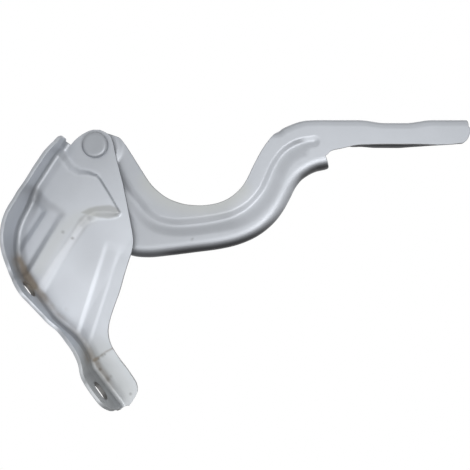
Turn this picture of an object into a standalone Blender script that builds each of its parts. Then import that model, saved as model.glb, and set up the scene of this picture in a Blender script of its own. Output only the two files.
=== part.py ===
"""Hood hinge: a pressed steel body bracket and a gooseneck hood arm that turn on one rivet.

X runs along the hood bar, Z is up and -Y points to the side where the bracket's flange stands out.
The origin lies on the bracket's seating pad, beside its upper bolt slot.
Every shape below is written around the pivot, and one empty carries it all to its place.
"""
import math

import bpy
import numpy as np

MM = 0.001

# Sheets and the running gaps between pieces
BRACKET_SHEET = 2.8 * MM
ARM_SHEET = 3.0 * MM
SEAT_GAP = 0.3 * MM
RUNNING_CLEARANCE = 0.1 * MM

# The rivet and what turns on it
SHANK_RADIUS = 5.0 * MM
HEAD_RADIUS = 9.75 * MM
HEAD_HEIGHT = 4.0 * MM
HEAD_CHAMFER = 1.5 * MM
CENTRE_MARK_RADIUS = 3.4 * MM
CENTRE_MARK_DEPTH = 0.3 * MM
FORMED_HEAD_RADIUS = 8.8 * MM
FORMED_HEAD_HEIGHT = 3.5 * MM
BUSH_WALL = 1.1 * MM
BUSH_FLANGE = 1.2 * MM
BUSH_FLANGE_RADIUS = 9.5 * MM
THRUST_WASHER_RADIUS = 10.0 * MM
THRUST_WASHER_THICKNESS = 1.0 * MM
BACKING_WASHER_RADIUS = 10.5 * MM
BACKING_WASHER_THICKNESS = 2.0 * MM

# Bracket: the seating pads of its bolt flange lie in one plane
PAD_SLOPE = math.radians(54.0)
PAD_DISTANCE = 99.4 * MM
BRACKET_BEND = 3.0 * MM
FLANGE_EAR = 2.0 * MM
EAR_RAMP = 8.0 * MM
UPPER_SLOT_STATION = 59.5 * MM
SLOT_SPACING = 90.5 * MM
UPPER_SLOT_SIZE = (13.0 * MM, 10.5 * MM)
LOWER_SLOT_SIZE = (15.0 * MM, 10.5 * MM)
UPPER_SLOT_DEPTH = 12.5 * MM
LOWER_SLOT_DEPTH = 16.5 * MM
ORIGIN_PAST_SLOT = 12.0 * MM

# Bracket: pressed relief, as heights towards the flange's side
FIRST_RISE = 1.8 * MM
SECOND_RISE = 1.3 * MM
THIRD_RISE = 1.8 * MM
SHORTEST_RAMP = 4.0 * MM
PANEL_TILT = math.radians(2.6)
PANEL_LEFT = -40.0 * MM
WALL_TILT = math.radians(4.0)
WALL_FACING = np.array([0.87, -0.5])
WALL_EDGE = 58.0 * MM
WALL_TILT_START = -30.0 * MM
WALL_TILT_RAMP = 50.0 * MM
GROOVE_DEPTH = 1.5 * MM
GROOVE_HALF_WIDTH = 6.5 * MM
GROOVE_RAMP = 5.2 * MM
GROOVE_ENDS = ((11.6, -80.0), (-8.3, -142.0))
TAB_BEND = math.radians(3.0)
TAB_CREASE = ((12.6, -152.1), (-0.4, -161.1))

# Arm: gooseneck flange, hood bar and its folds
GOOSENECK_BEND = 7.5 * MM
GOOSENECK_FLANGE = 6.0 * MM
BAR_BEND = 5.5 * MM
HOOD_FLANGE_FLAT = 16.0 * MM
PIVOT_PAD_RADIUS = 19.0 * MM
PIVOT_PAD_RISE = 1.8 * MM
PIVOT_PAD_SLOPE = 4.0 * MM
BEAD_DEPTH = 3.0 * MM
BEAD_HALF_WIDTH = 7.0 * MM
TIP_BULGE = 3.0 * MM
HOOD_RECESS = (200.0 * MM, 256.0 * MM)
HOOD_RECESS_DEPTH = 2.2 * MM
HOOD_RECESS_SLOPE = 20.0 * MM
HOOD_HOLE_RADIUS = 4.5 * MM
HOOD_HOLE_LENGTH = 9.5 * MM
HOOD_SLOT_LENGTH = 12.0 * MM
HOOD_HOLE_STATION = 270.0 * MM
HOOD_HOLE_SPACING = 76.0 * MM

# Facets
ROUND_STEPS = 48
WALL_COLUMNS = 24
WEB_COLUMNS = 12
BEND_COLUMNS = 4
FLANGE_COLUMNS = 2
STATIONS_PER_RIB = 2

# Places along the pivot's axis, from the bracket's front face backwards
WALL_BACK = BRACKET_SHEET
BUSH_FRONT = WALL_BACK + SEAT_GAP
ARM_PAD_FRONT = BUSH_FRONT + BUSH_FLANGE + SEAT_GAP
ARM_WEB_FRONT = ARM_PAD_FRONT + PIVOT_PAD_RISE
ARM_PAD_BACK = ARM_PAD_FRONT + ARM_SHEET
THRUST_FRONT = ARM_PAD_BACK + SEAT_GAP
BACKING_FRONT = THRUST_FRONT + THRUST_WASHER_THICKNESS + SEAT_GAP
FORMED_HEAD_FRONT = BACKING_FRONT + BACKING_WASHER_THICKNESS + SEAT_GAP
BUSH_BORE = SHANK_RADIUS + RUNNING_CLEARANCE
BUSH_RADIUS = BUSH_BORE + BUSH_WALL
WASHER_BORE = SHANK_RADIUS + SEAT_GAP

# Directions of the seating pads: along them, and out of the bracket's flange
PAD_ALONG = np.array([math.cos(PAD_SLOPE), -math.sin(PAD_SLOPE)])
PAD_OUT = np.array([-math.sin(PAD_SLOPE), -math.cos(PAD_SLOPE)])


def pad_point(station, distance=PAD_DISTANCE):
    """A point of the seating pads' line: station along it, distance out from the pivot."""
    return PAD_OUT * distance + PAD_ALONG * station


def spaced(share):
    """Station in millimetres, as a share of the way from the upper slot to the lower one."""
    return (UPPER_SLOT_STATION + share * SLOT_SPACING) / MM


def across(station, share, depth, edge_station, edge_share):
    """A rib of the bracket in millimetres: its bend point, flange depth and free edge.

    Both points are given by their station along the pads and by their distance out as a share
    of the pads' own.
    """
    bend = pad_point(station * MM, share * PAD_DISTANCE) / MM
    edge = pad_point(edge_station * MM, edge_share * PAD_DISTANCE) / MM
    return (*bend, depth, *edge)


def on_pad(station, depth, edge_station, edge_share):
    """A rib of the bracket that starts at the bend of the straight seating pads."""
    return across(station, 1.0 - BRACKET_BEND / PAD_DISTANCE, depth, edge_station, edge_share)


# Ribs of the bracket, top to bottom
BRACKET_RIBS = (
    across(-10.4, -0.0562, 0.0, -7.4, -0.0963),
    across(-11.6, -0.0226, 0.0, -4.0, -0.1161),
    across(-12.5, 0.0321, 0.0, 0.6, -0.1313),
    across(-12.3, 0.0944, 0.0, 6.3, -0.1181),
    across(-11.1, 0.1480, 16.5, 10.9, -0.0967),
    across(-9.4, 0.1928, 20.6, 15.5, -0.0772),
    across(-8.1, 0.2383, 22.5, 19.8, -0.0590),
    across(-6.5, 0.2869, 24.0, 24.1, -0.0427),
    across(-4.3, 0.3440, 24.4, 27.9, -0.0272),
    across(-1.9, 0.4050, 25.0, 32.0, -0.0113),
    across(0.4, 0.4668, 24.3, 36.0, 0.0046),
    across(2.8, 0.5256, 24.9, 40.1, 0.0233),
    across(5.9, 0.5827, 28.4, 44.2, 0.0419),
    across(9.4, 0.6361, 31.7, 48.7, 0.0622),
    across(12.7, 0.6971, 33.7, 54.2, 0.0879),
    across(15.7, 0.7564, 32.6, 59.6, 0.1133),
    across(20.2, 0.8220, 30.2, 64.9, 0.1386),
    across(26.2, 0.8780, 28.0, 70.2, 0.1648),
    across(33.3, 0.9250, 24.4, 75.8, 0.1997),
    on_pad(43.0, 19.8, 80.5, 0.2505),
    on_pad(50.0, 24.7, 84.6, 0.3097),
    on_pad(60.0, 27.7, 91.7, 0.4070),
    on_pad(70.0, 24.1, 99.0, 0.4998),
    on_pad(spaced(0.2265), 20.0, spaced(0.5061), 0.5928),
    on_pad(spaced(0.3039), 16.9, spaced(0.5746), 0.6808),
    across(spaced(0.3967), 0.9535, 15.2, spaced(0.6320), 0.7374),
    across(spaced(0.5028), 0.9318, 20.4, spaced(0.6851), 0.7709),
    across(spaced(0.6199), 0.9249, 22.9, spaced(0.7514), 0.7923),
    across(spaced(0.7370), 0.9384, 25.2, spaced(0.8343), 0.8004),
    on_pad(spaced(0.8232), 26.4, spaced(0.9193), 0.8041),
    on_pad(spaced(0.8785), 29.4, spaced(0.9845), 0.8025),
    on_pad(spaced(1.0000), 30.0, spaced(1.0707), 0.806),
    on_pad(spaced(1.0884), 28.3, spaced(1.1403), 0.8125),
    on_pad(spaced(1.1547), 21.6, spaced(1.2011), 0.8426),
    on_pad(spaced(1.2044), 11.5, spaced(1.2354), 0.8989),
    across(spaced(1.2464), 0.9822, 4.2, spaced(1.2575), 0.9555),
)
BRACKET_FLANGE_FIRST_RIB = 4

# Outlines of the pressed steps, each wider than the next: x, z and the ramp's width, in millimetres
FOOT = (
    (-27.0, 4.0, 5.0), (-23.5, -2.5, 5.0), (-20.9, -9.6, 5.6), (-17.5, -15.2, 6.0), (-12.3, -19.2, 6.0),
    (-5.5, -20.6, 5.0), (0.6, -22.3, 3.0), (3.2, -25.0, 1.6), (9.5, -34.8, 1.2), (16.2, -46.4, 1.2),
    (18.6, -50.2, 2.0), (17.6, -52.2, 4.0), (14.0, -53.0, 6.5), (8.5, -52.8, 8.0), (1.5, -53.2, 8.0),
    (-4.8, -55.4, 7.0), (-10.2, -60.8, 6.0), (-15.6, -69.3, 6.0), (-26.5, -86.0, 7.0), (-37.6, -104.4, 8.0),
    (-44.0, -115.0, 8.0),
)
THIRD_STEP = FOOT + (
    (-58.0, -112.0, 6.0), (-52.0, -98.0, 5.2), (-46.4, -88.6, 5.2), (-41.5, -80.2, 5.2), (-32.0, -64.5, 5.2),
    (-23.9, -51.6, 5.6), (-27.0, -49.0, 6.6), (-33.0, -44.0, 7.6), (-38.6, -38.8, 8.0), (-44.0, -33.6, 7.0),
    (-60.0, -24.0, 6.0), (-60.0, 4.0, 5.0),
)
SECOND_STEP = FOOT + (
    (-64.0, -112.0, 6.0), (-64.0, -92.0, 5.4), (-56.5, -80.0, 5.4), (-53.2, -74.0, 5.4), (-44.4, -61.0, 5.4),
    (-36.9, -49.4, 5.4), (-41.0, -44.0, 5.4), (-50.0, -36.0, 5.0), (-60.0, -24.0, 5.0), (-60.0, 4.0, 5.0),
)
FIRST_STEP = FOOT + ((-80.0, -112.0, 6.0), (-80.0, 4.0, 5.0))

# Ribs of the arm, head to tip: lower x, z and upper x, z, in millimetres
ARM_RIBS = (
    (-5.5, 9.5, 5.0, 10.6),
    (-10.2, 4.0, 13.0, 8.1),
    (-11.0, -3.0, 17.4, 6.4),
    (-9.8, -11.0, 21.0, 1.8),
    (-7.0, -22.0, 26.8, -7.2),
    (-1.5, -36.0, 33.0, -17.1),
    (5.5, -52.0, 39.4, -26.9),
    (13.5, -66.0, 44.6, -32.6),
    (24.2, -75.1, 50.4, -37.3),
    (37.0, -77.2, 56.6, -40.7),
    (54.0, -75.7, 66.2, -43.7),
    (74.0, -73.2, 77.0, -44.7),
    (90.1, -71.1, 85.5, -44.1),
    (104.4, -67.9, 93.6, -42.2),
    (117.2, -62.5, 101.6, -38.2),
    (127.4, -54.9, 108.4, -32.3),
    (134.9, -46.0, 113.2, -25.6),
    (140.8, -35.5, 118.6, -14.5),
    (145.2, -26.9, 123.9, -4.5),
    (150.9, -19.6, 129.5, 4.0),
    (157.9, -14.5, 136.1, 11.2),
    (165.7, -10.3, 145.2, 18.0),
    (173.9, -7.3, 156.4, 20.2),
    (178.3, -3.1, 168.0, 21.0),
    (187.0, -1.0, 181.0, 21.0),
    (197.0, 1.2, 193.0, 21.0),
    (206.0, 1.7, 205.0, 21.0),
    (213.0, 1.9, 213.0, 21.0),
    (219.0, 2.0, 219.0, 21.0),
    (236.0, 2.0, 236.0, 21.0),
    (243.0, 2.0, 243.0, 21.0),
    (250.0, 1.8, 250.0, 21.0),
    (264.0, 1.5, 264.0, 21.0),
    (278.0, 2.4, 282.6, 21.0),
)
GOOSENECK_FLANGE_RIBS = (4, 22)
HOOD_FLANGE_FIRST_RIB = 19
LIP_FIRST_RIB = 23

# How many ribs each flange takes to fold fully, the turn and the length it starts with
GOOSENECK_GROWTH = 3.0
HOOD_FLANGE_GROWTH = 3.0
LIP_GROWTH = 2.2
LIP_LEAD = 0.4
FOLD_START = 0.05
FLANGE_START = 0.3 * MM

# The middle of the arm's bead, head to tip, as x and z in millimetres
BEAD_LINE = (
    (14.2, -25.5), (20.3, -36.9), (27.9, -46.0), (36.2, -54.4), (46.1, -59.3), (60.6, -61.2),
    (79.6, -59.7), (97.1, -56.3), (107.7, -52.1), (117.6, -45.2), (127.5, -33.1),
    (135.1, -16.3), (142.0, -6.1), (149.6, -0.4), (157.9, 2.7), (165.0, 4.0),
)
# The far lip's lower edge along the bar, as x and height in millimetres
LIP_EDGE = (
    (181.0, 16.5), (188.0, 11.0), (193.0, 5.5), (198.0, 3.7), (209.0, 3.6), (217.0, 3.0), (236.0, 2.9),
    (248.0, 3.7), (262.0, 4.7), (275.0, 5.4), (281.0, 11.0),
)


def clear_scene():
    for item in list(bpy.data.objects):
        bpy.data.objects.remove(item, do_unlink=True)


def new_collection(name):
    collection = bpy.data.collections.new(name)
    bpy.context.scene.collection.children.link(collection)
    return collection


def finish(name, colour, roughness, metallic):
    """A plain material: base colour, roughness and metallic value."""
    material = bpy.data.materials.new(name)
    material.use_nodes = True
    shader = material.node_tree.nodes["Principled BSDF"]
    shader.inputs["Base Color"].default_value = (*colour, 1.0)
    shader.inputs["Roughness"].default_value = roughness
    shader.inputs["Metallic"].default_value = metallic
    return material


def new_object(name, vertices, faces, collection, pivot, material=None):
    mesh = bpy.data.meshes.new(name)
    mesh.from_pydata([tuple(map(float, v)) for v in vertices], [], faces)
    mesh.validate()
    made = bpy.data.objects.new(name, mesh)
    collection.objects.link(made)
    made.parent = pivot
    if material:
        mesh.materials.append(material)
    return made


def spline(points, per_span):
    """A Catmull-Rom curve through the points, with per_span samples from each point to the next."""
    p = np.array(points, float)
    p = np.vstack([2 * p[0] - p[1], p, 2 * p[-1] - p[-2]])
    t = (np.arange(per_span) / per_span)[:, None]
    spans = []
    for a, b, c, d in zip(p[:-3], p[1:-2], p[2:-1], p[3:]):
        bend = 2 * a - 5 * b + 4 * c - d
        spans.append(0.5 * (2 * b + (c - a) * t + bend * t**2 + (3 * b - a - 3 * c + d) * t**3))
    return np.vstack(spans + [p[-2:-1]])


def smooth(x):
    """Runs from 0 to 1 as x does, with level ends."""
    x = np.clip(x, 0.0, 1.0)
    return x * x * (3.0 - 2.0 * x)


def distance_to_line(points, line, carried=None):
    """Distance of each point to an open line of corners, and the line's own value at the nearest place."""
    best = np.full(points.shape[:-1], np.inf)
    value = np.zeros(points.shape[:-1])
    for i, (a, b) in enumerate(zip(line[:-1], line[1:])):
        along = b - a
        share = np.clip(((points - a) @ along) / (along @ along), 0.0, 1.0)
        distance = np.linalg.norm(points - a - share[..., None] * along, axis=-1)
        if carried is not None:
            value = np.where(distance < best, carried[i] + share * (carried[i + 1] - carried[i]), value)
        best = np.minimum(best, distance)
    return best, value


def inside(points, outline):
    """Whether each point lies in a closed outline, by how often a line to its right crosses it."""
    x, z = points[..., 0], points[..., 1]
    found = np.zeros(x.shape, bool)
    for (ax, az), (bx, bz) in zip(outline[:-1], outline[1:]):
        if az != bz:
            crosses = (az > z) != (bz > z)
            found ^= crosses & (x < ax + (z - az) * (bx - ax) / (bz - az))
    return found


def step_share(points, outline):
    """Runs from 0 outside a pressed step to 1 on it, over the ramp width that its outline carries."""
    closed = np.array([*outline, outline[0]]) * MM
    distance, width = distance_to_line(points, closed[:, :2], closed[:, 2])
    signed = np.where(inside(points, closed[:, :2]), distance, -distance)
    return smooth(0.5 + signed / np.maximum(width, SHORTEST_RAMP))


def bracket_relief(points):
    """Height of the bracket's wall over its base level at (x, z) points."""
    first, second, third = (step_share(points, o) for o in (FIRST_STEP, SECOND_STEP, THIRD_STEP))
    height = FIRST_RISE * first + SECOND_RISE * second + THIRD_RISE * third
    height -= third * math.tan(PANEL_TILT) * (points[..., 0] - PANEL_LEFT)
    below = (1.0 - first) * smooth((WALL_TILT_START - points[..., 1]) / WALL_TILT_RAMP)
    height += below * math.tan(WALL_TILT) * np.maximum(WALL_EDGE - points @ WALL_FACING, 0.0)
    from_groove, _ = distance_to_line(points, np.array(GROOVE_ENDS) * MM)
    height -= GROOVE_DEPTH * smooth((GROOVE_HALF_WIDTH - from_groove) / GROOVE_RAMP)
    start, end = np.array(TAB_CREASE) * MM
    across_crease = np.array([start[1] - end[1], end[0] - start[0]]) / np.linalg.norm(end - start)
    return height - math.tan(TAB_BEND) * np.maximum((points - start) @ across_crease, 0.0)


def arm_relief(points):
    """Set-back of the arm's web from its front plane: the pivot pad is proud, the bead is sunk."""
    from_pivot = np.linalg.norm(points, axis=-1)
    pad = smooth((PIVOT_PAD_RADIUS + PIVOT_PAD_SLOPE - from_pivot) / PIVOT_PAD_SLOPE)
    from_bead, _ = distance_to_line(points, spline(BEAD_LINE, 3) * MM)
    bead = smooth(1.0 - from_bead / BEAD_HALF_WIDTH)
    return BEAD_DEPTH * bead - PIVOT_PAD_RISE * pad


def side_normals(line):
    """Unit normals on the right of an (x, z) line, as seen from the front."""
    along = np.gradient(line, axis=0)
    across = np.stack([along[:, 1], -along[:, 0]], axis=1)
    return across / np.linalg.norm(across, axis=1, keepdims=True)


def grid_faces(index):
    """Quads of a grid of vertex numbers, wherever all four corners exist."""
    a, b, c, d = index[:-1, :-1], index[1:, :-1], index[1:, 1:], index[:-1, 1:]
    quads = np.stack([a, b, c, d], axis=-1).reshape(-1, 4)
    return [tuple(map(int, quad)) for quad in quads if quad.min() >= 0]


def place(xz, y):
    """Joins (x, z) points with their y."""
    return np.stack([xz[..., 0], np.broadcast_to(y, xz.shape[:-1]), xz[..., 1]], axis=-1)


def bracket_surface():
    """The bracket's inner face: bolt flange, bend and pressed wall, as rows of points down its fold.

    The flange's top corner stands up by an ear past the relief notch at the bend.
    """
    ribs = spline(BRACKET_RIBS, STATIONS_PER_RIB) * MM
    past_first = np.arange(len(ribs)) / STATIONS_PER_RIB - BRACKET_FLANGE_FIRST_RIB
    has_flange = past_first >= 0.0
    bend_line, depth, edge = ribs[:, :2], ribs[:, 2], ribs[:, 3:]
    out = np.zeros(bend_line.shape)
    out[has_flange] = side_normals(bend_line[has_flange])
    share = np.linspace(0.0, 1.0, WALL_COLUMNS + 1)[None, :, None]
    wall = bend_line[:, None] * (1.0 - share) + edge[:, None] * share
    level = bracket_relief(wall)
    flange_start = level[:, 0] + BRACKET_BEND
    upward = np.stack([out[:, 1], -out[:, 0]], axis=1)
    columns = []
    for step in np.linspace(0.0, 1.0, FLANGE_COLUMNS + 1):
        ahead = depth * (1.0 - step) + flange_start * step
        ear = FLANGE_EAR * np.clip(1.0 - past_first, 0.0, 1.0) * smooth((ahead - flange_start) / EAR_RAMP)
        columns.append(place(bend_line + out * BRACKET_BEND + upward * ear[:, None], -ahead))
    for angle in np.linspace(0.0, math.pi / 2, BEND_COLUMNS + 1)[1:-1]:
        columns.append(
            place(
                bend_line + out * BRACKET_BEND * math.cos(angle),
                -(flange_start - BRACKET_BEND * math.sin(angle)),
            )
        )
    rows = np.concatenate([np.stack(columns, axis=1), place(wall, -level)], axis=1)
    exists = np.ones(rows.shape[:2], bool)
    exists[~has_flange, : len(columns)] = False
    return rows, exists


def growing_fold(radius, growth):
    """Turning angle and arc length of a fold that grows from nearly flat to a right angle."""
    turn = FOLD_START + (math.pi / 2 - FOLD_START) * growth
    return turn, radius * turn


def folded_strip(root, out, front, folds, flats):
    """Sections that leave the web at root along out and turn back by the given folds.

    folds are pairs of turning angle and arc length, and each is followed by its flat length.
    Every value is an array with one number for each section.
    """
    sections = []
    here = np.zeros(len(root))
    back = np.zeros(len(root))
    heading = np.zeros(len(root))
    for (turn, arc), flat in zip(folds, flats):
        for _ in range(BEND_COLUMNS):
            half = turn / (2 * BEND_COLUMNS)
            chord = arc / BEND_COLUMNS * np.sinc(half / math.pi)
            here = here + chord * np.cos(heading + half)
            back = back + chord * np.sin(heading + half)
            heading = heading + 2 * half
            sections.append((here, back))
        for _ in range(2):
            here = here + flat / 2 * np.cos(heading)
            back = back + flat / 2 * np.sin(heading)
            sections.append((here, back))
    return [place(root + out * h[:, None], front + b) for h, b in sections]


def hood_recess(x):
    """How far the hood flange lies below its two level pads at x along the bar."""
    start, end = HOOD_RECESS
    return HOOD_RECESS_DEPTH * smooth((x - start) / HOOD_RECESS_SLOPE) * smooth((end - x) / HOOD_RECESS_SLOPE)


def lip_height(x):
    """Height of the far lip's lower edge at x along the bar."""
    edge = np.array(LIP_EDGE) * MM
    return np.interp(x, edge[:, 0], edge[:, 1])


def arm_surface():
    """The arm's front face: web, gooseneck flange and hood flange with its lip, as rows of points."""
    ribs = spline(ARM_RIBS, STATIONS_PER_RIB) * MM
    lower, upper = ribs[:, :2], ribs[:, 2:]
    upper[:, 1] -= hood_recess(upper[:, 0])
    rib = np.arange(len(ribs)) / STATIONS_PER_RIB
    last = rib[-1]

    growth = smooth((rib - HOOD_FLANGE_FIRST_RIB) / HOOD_FLANGE_GROWTH)
    turn, arc = growing_fold(BAR_BEND, growth)
    lip_growth = smooth((rib - LIP_FIRST_RIB + LIP_LEAD) / LIP_GROWTH)
    lip_turn, lip_arc = growing_fold(BAR_BEND, lip_growth)
    flat = FLANGE_START + (HOOD_FLANGE_FLAT - FLANGE_START) * growth
    drop = upper[:, 1] - lip_height(upper[:, 0]) - BAR_BEND
    lip_flat = FLANGE_START + np.maximum(drop, 0.0) * lip_growth**2

    has_hood_flange = rib >= HOOD_FLANGE_FIRST_RIB
    upper_out = -side_normals(upper)
    height = arc / turn * np.sin(turn) + flat * np.cos(turn)
    web_top = np.where(has_hood_flange[:, None], upper - upper_out * height[:, None], upper)

    share = np.linspace(0.0, 1.0, WEB_COLUMNS + 1)[None, :, None]
    web = lower[:, None] * (1.0 - share) + web_top[:, None] * share
    near_tip = smooth(rib - last + 1.0)[:, None]
    web[..., 0] += TIP_BULGE * near_tip * (1.0 - np.abs(2.0 * share[..., 0] - 1.0) ** 3)
    set_back = arm_relief(web)
    web_rows = place(web, ARM_WEB_FRONT + set_back)

    first, end = GOOSENECK_FLANGE_RIBS
    low_growth = smooth((rib - first) / GOOSENECK_GROWTH)
    low_fold = growing_fold(GOOSENECK_BEND, low_growth)
    low_flat = FLANGE_START + (GOOSENECK_FLANGE - FLANGE_START) * low_growth
    lower_strip = folded_strip(
        lower, side_normals(lower), ARM_WEB_FRONT + set_back[:, 0], (low_fold,), (low_flat,)
    )
    hood_strip = folded_strip(
        web_top,
        upper_out,
        ARM_WEB_FRONT + set_back[:, -1],
        ((turn, arc), (lip_turn, lip_arc)),
        (flat, lip_flat),
    )
    rows = np.concatenate(
        [np.stack(lower_strip[::-1], axis=1), web_rows, np.stack(hood_strip, axis=1)], axis=1
    )
    exists = np.ones(rows.shape[:2], bool)
    below = len(lower_strip)
    above = below + WEB_COLUMNS + 1
    lip_start = above + BEND_COLUMNS + 2
    exists[(rib < first) | (rib > end), :below] = False
    exists[rib < HOOD_FLANGE_FIRST_RIB, above:] = False
    exists[rib < LIP_FIRST_RIB, lip_start:] = False
    return rows, exists


def sheet_object(name, rows, exists, thickness, collection, pivot, material):
    """A pressed sheet: its face as a grid, thickened away from the viewer."""
    index = np.full(rows.shape[:2], -1)
    index[exists] = np.arange(exists.sum())
    made = new_object(name, rows[exists], grid_faces(index), collection, pivot, material)
    solid = made.modifiers.new("Sheet", "SOLIDIFY")
    solid.thickness = thickness
    solid.offset = -1.0
    solid.use_even_offset = True
    solid.use_quality_normals = True
    made.data.shade_smooth()
    made.data.set_sharp_from_angle(angle=math.radians(40.0))
    return made


def turned_object(name, profile, front, collection, pivot, material=None):
    """A turned piece on the pivot: profile points are radius and distance in front of its place."""
    mesh = bpy.data.meshes.new(name)
    points = [(float(radius), 0.0, float(ahead)) for radius, ahead in profile]
    closed = points[0][0] > 0.0
    edges = [(i, i + 1) for i in range(len(points) - 1)]
    if closed:
        edges.append((len(points) - 1, 0))
    mesh.from_pydata(points, edges, [])
    made = bpy.data.objects.new(name, mesh)
    collection.objects.link(made)
    made.parent = pivot
    made.rotation_euler = (math.pi / 2, 0.0, 0.0)
    made.location = (0.0, front, 0.0)
    turn = made.modifiers.new("Turn", "SCREW")
    turn.axis = "Z"
    turn.angle = math.tau
    turn.steps = ROUND_STEPS
    turn.render_steps = ROUND_STEPS
    turn.use_merge_vertices = True
    turn.merge_threshold = 0.00001
    turn.use_smooth_shade = True
    if material:
        mesh.materials.append(material)
    return made


def ring_profile(inner, outer, thickness):
    """Section of a plain ring whose front face is at 0."""
    return ((outer, 0.0), (outer, -thickness), (inner, -thickness), (inner, 0.0))


def rivet_profile():
    """Section of the rivet: chamfered front head, shank and formed head."""
    top = SEAT_GAP + HEAD_HEIGHT
    flat = HEAD_RADIUS - HEAD_CHAMFER
    behind = -FORMED_HEAD_FRONT
    mark = CENTRE_MARK_RADIUS
    return (
        (0.0, top),
        (mark - CENTRE_MARK_DEPTH, top),
        (mark, top - CENTRE_MARK_DEPTH),
        (mark + CENTRE_MARK_DEPTH, top),
        (flat, top),
        (HEAD_RADIUS, top - HEAD_CHAMFER),
        (HEAD_RADIUS, SEAT_GAP),
        (SHANK_RADIUS, SEAT_GAP),
        (SHANK_RADIUS, behind),
        (FORMED_HEAD_RADIUS - 0.1 * FORMED_HEAD_HEIGHT, behind),
        (FORMED_HEAD_RADIUS, behind - 0.25 * FORMED_HEAD_HEIGHT),
        (FORMED_HEAD_RADIUS - 0.2 * FORMED_HEAD_HEIGHT, behind - 0.8 * FORMED_HEAD_HEIGHT),
        (FORMED_HEAD_RADIUS - 0.7 * FORMED_HEAD_HEIGHT, behind - FORMED_HEAD_HEIGHT),
        (0.0, behind - FORMED_HEAD_HEIGHT),
    )


def bush_profile():
    """Section of the bush: its flange in front, its barrel through the arm."""
    barrel_end = -(ARM_PAD_BACK - BUSH_FRONT)
    return (
        (BUSH_FLANGE_RADIUS, 0.0),
        (BUSH_FLANGE_RADIUS, -BUSH_FLANGE),
        (BUSH_RADIUS, -BUSH_FLANGE),
        (BUSH_RADIUS, barrel_end),
        (BUSH_BORE, barrel_end),
        (BUSH_BORE, 0.0),
    )


def round_cutter(name, radius, collection, pivot):
    """A cylinder along the pivot's axis, long enough to pass through both sheets."""
    reach = FORMED_HEAD_FRONT
    return turned_object(
        name, ((0.0, reach), (radius, reach), (radius, -reach), (0.0, -reach)), 0.0, collection, pivot
    )


def slot_cutter(name, centre, along, through, size, reach, collection, pivot):
    """A round-ended block that cuts a slot: its length lies along, its depth through the sheet."""
    length, width = size
    across = np.cross(through, along)
    half = ROUND_STEPS // 4
    radius = width / 2
    straight = length / 2 - radius
    outline = []
    for side in (1.0, -1.0):
        for step in range(half + 1):
            angle = math.pi * (step / half - 0.5)
            outline.append(
                side * (along * (straight + radius * math.cos(angle)) + across * radius * math.sin(angle))
            )
    count = len(outline)
    vertices = [centre + p - through * reach for p in outline] + [centre + p + through * reach for p in outline]
    faces = [tuple(range(count))[::-1], tuple(range(count, 2 * count))]
    faces += [(i, (i + 1) % count, count + (i + 1) % count, count + i) for i in range(count)]
    return new_object(name, vertices, faces, collection, pivot)


def cut(target, cutter):
    cutter.hide_render = True
    cutter.display_type = "WIRE"
    boolean = target.modifiers.new(cutter.name, "BOOLEAN")
    boolean.operation = "DIFFERENCE"
    boolean.solver = "EXACT"
    boolean.object = cutter


def make_bracket(parts, cutters, pivot, paint):
    rows, exists = bracket_surface()
    bracket = sheet_object("bracket", rows, exists, BRACKET_SHEET, parts, pivot, paint)
    cut(bracket, round_cutter("bracket_bore", SHANK_RADIUS + SEAT_GAP, cutters, pivot))
    along = np.array([PAD_ALONG[0], 0.0, PAD_ALONG[1]])
    out = np.array([PAD_OUT[0], 0.0, PAD_OUT[1]])
    slots = (
        ("upper_slot", UPPER_SLOT_STATION, UPPER_SLOT_DEPTH, UPPER_SLOT_SIZE),
        ("lower_slot", UPPER_SLOT_STATION + SLOT_SPACING, LOWER_SLOT_DEPTH, LOWER_SLOT_SIZE),
    )
    for name, station, depth, size in slots:
        centre = place(pad_point(station), -depth)
        cut(bracket, slot_cutter(name, centre, along, out, size, 2 * BRACKET_SHEET, cutters, pivot))
    return bracket


def make_arm(parts, cutters, pivot, paint):
    rows, exists = arm_surface()
    arm = sheet_object("hood_arm", rows, exists, ARM_SHEET, parts, pivot, paint)
    cut(arm, round_cutter("arm_bore", BUSH_RADIUS + SEAT_GAP, cutters, pivot))
    middle = ARM_WEB_FRONT + BAR_BEND + HOOD_FLANGE_FLAT / 2
    top = ARM_RIBS[-1][3] * MM
    along = np.array([1.0, 0.0, 0.0])
    up = np.array([0.0, 0.0, 1.0])
    holes = (
        ("hood_hole", HOOD_HOLE_STATION, HOOD_HOLE_LENGTH),
        ("hood_slot", HOOD_HOLE_STATION - HOOD_HOLE_SPACING, HOOD_SLOT_LENGTH),
    )
    for name, x, length in holes:
        centre = np.array([x, middle, top - ARM_SHEET / 2])
        size = (length, 2 * HOOD_HOLE_RADIUS)
        cut(arm, slot_cutter(name, centre, along, up, size, 2 * ARM_SHEET, cutters, pivot))
    return arm


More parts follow.
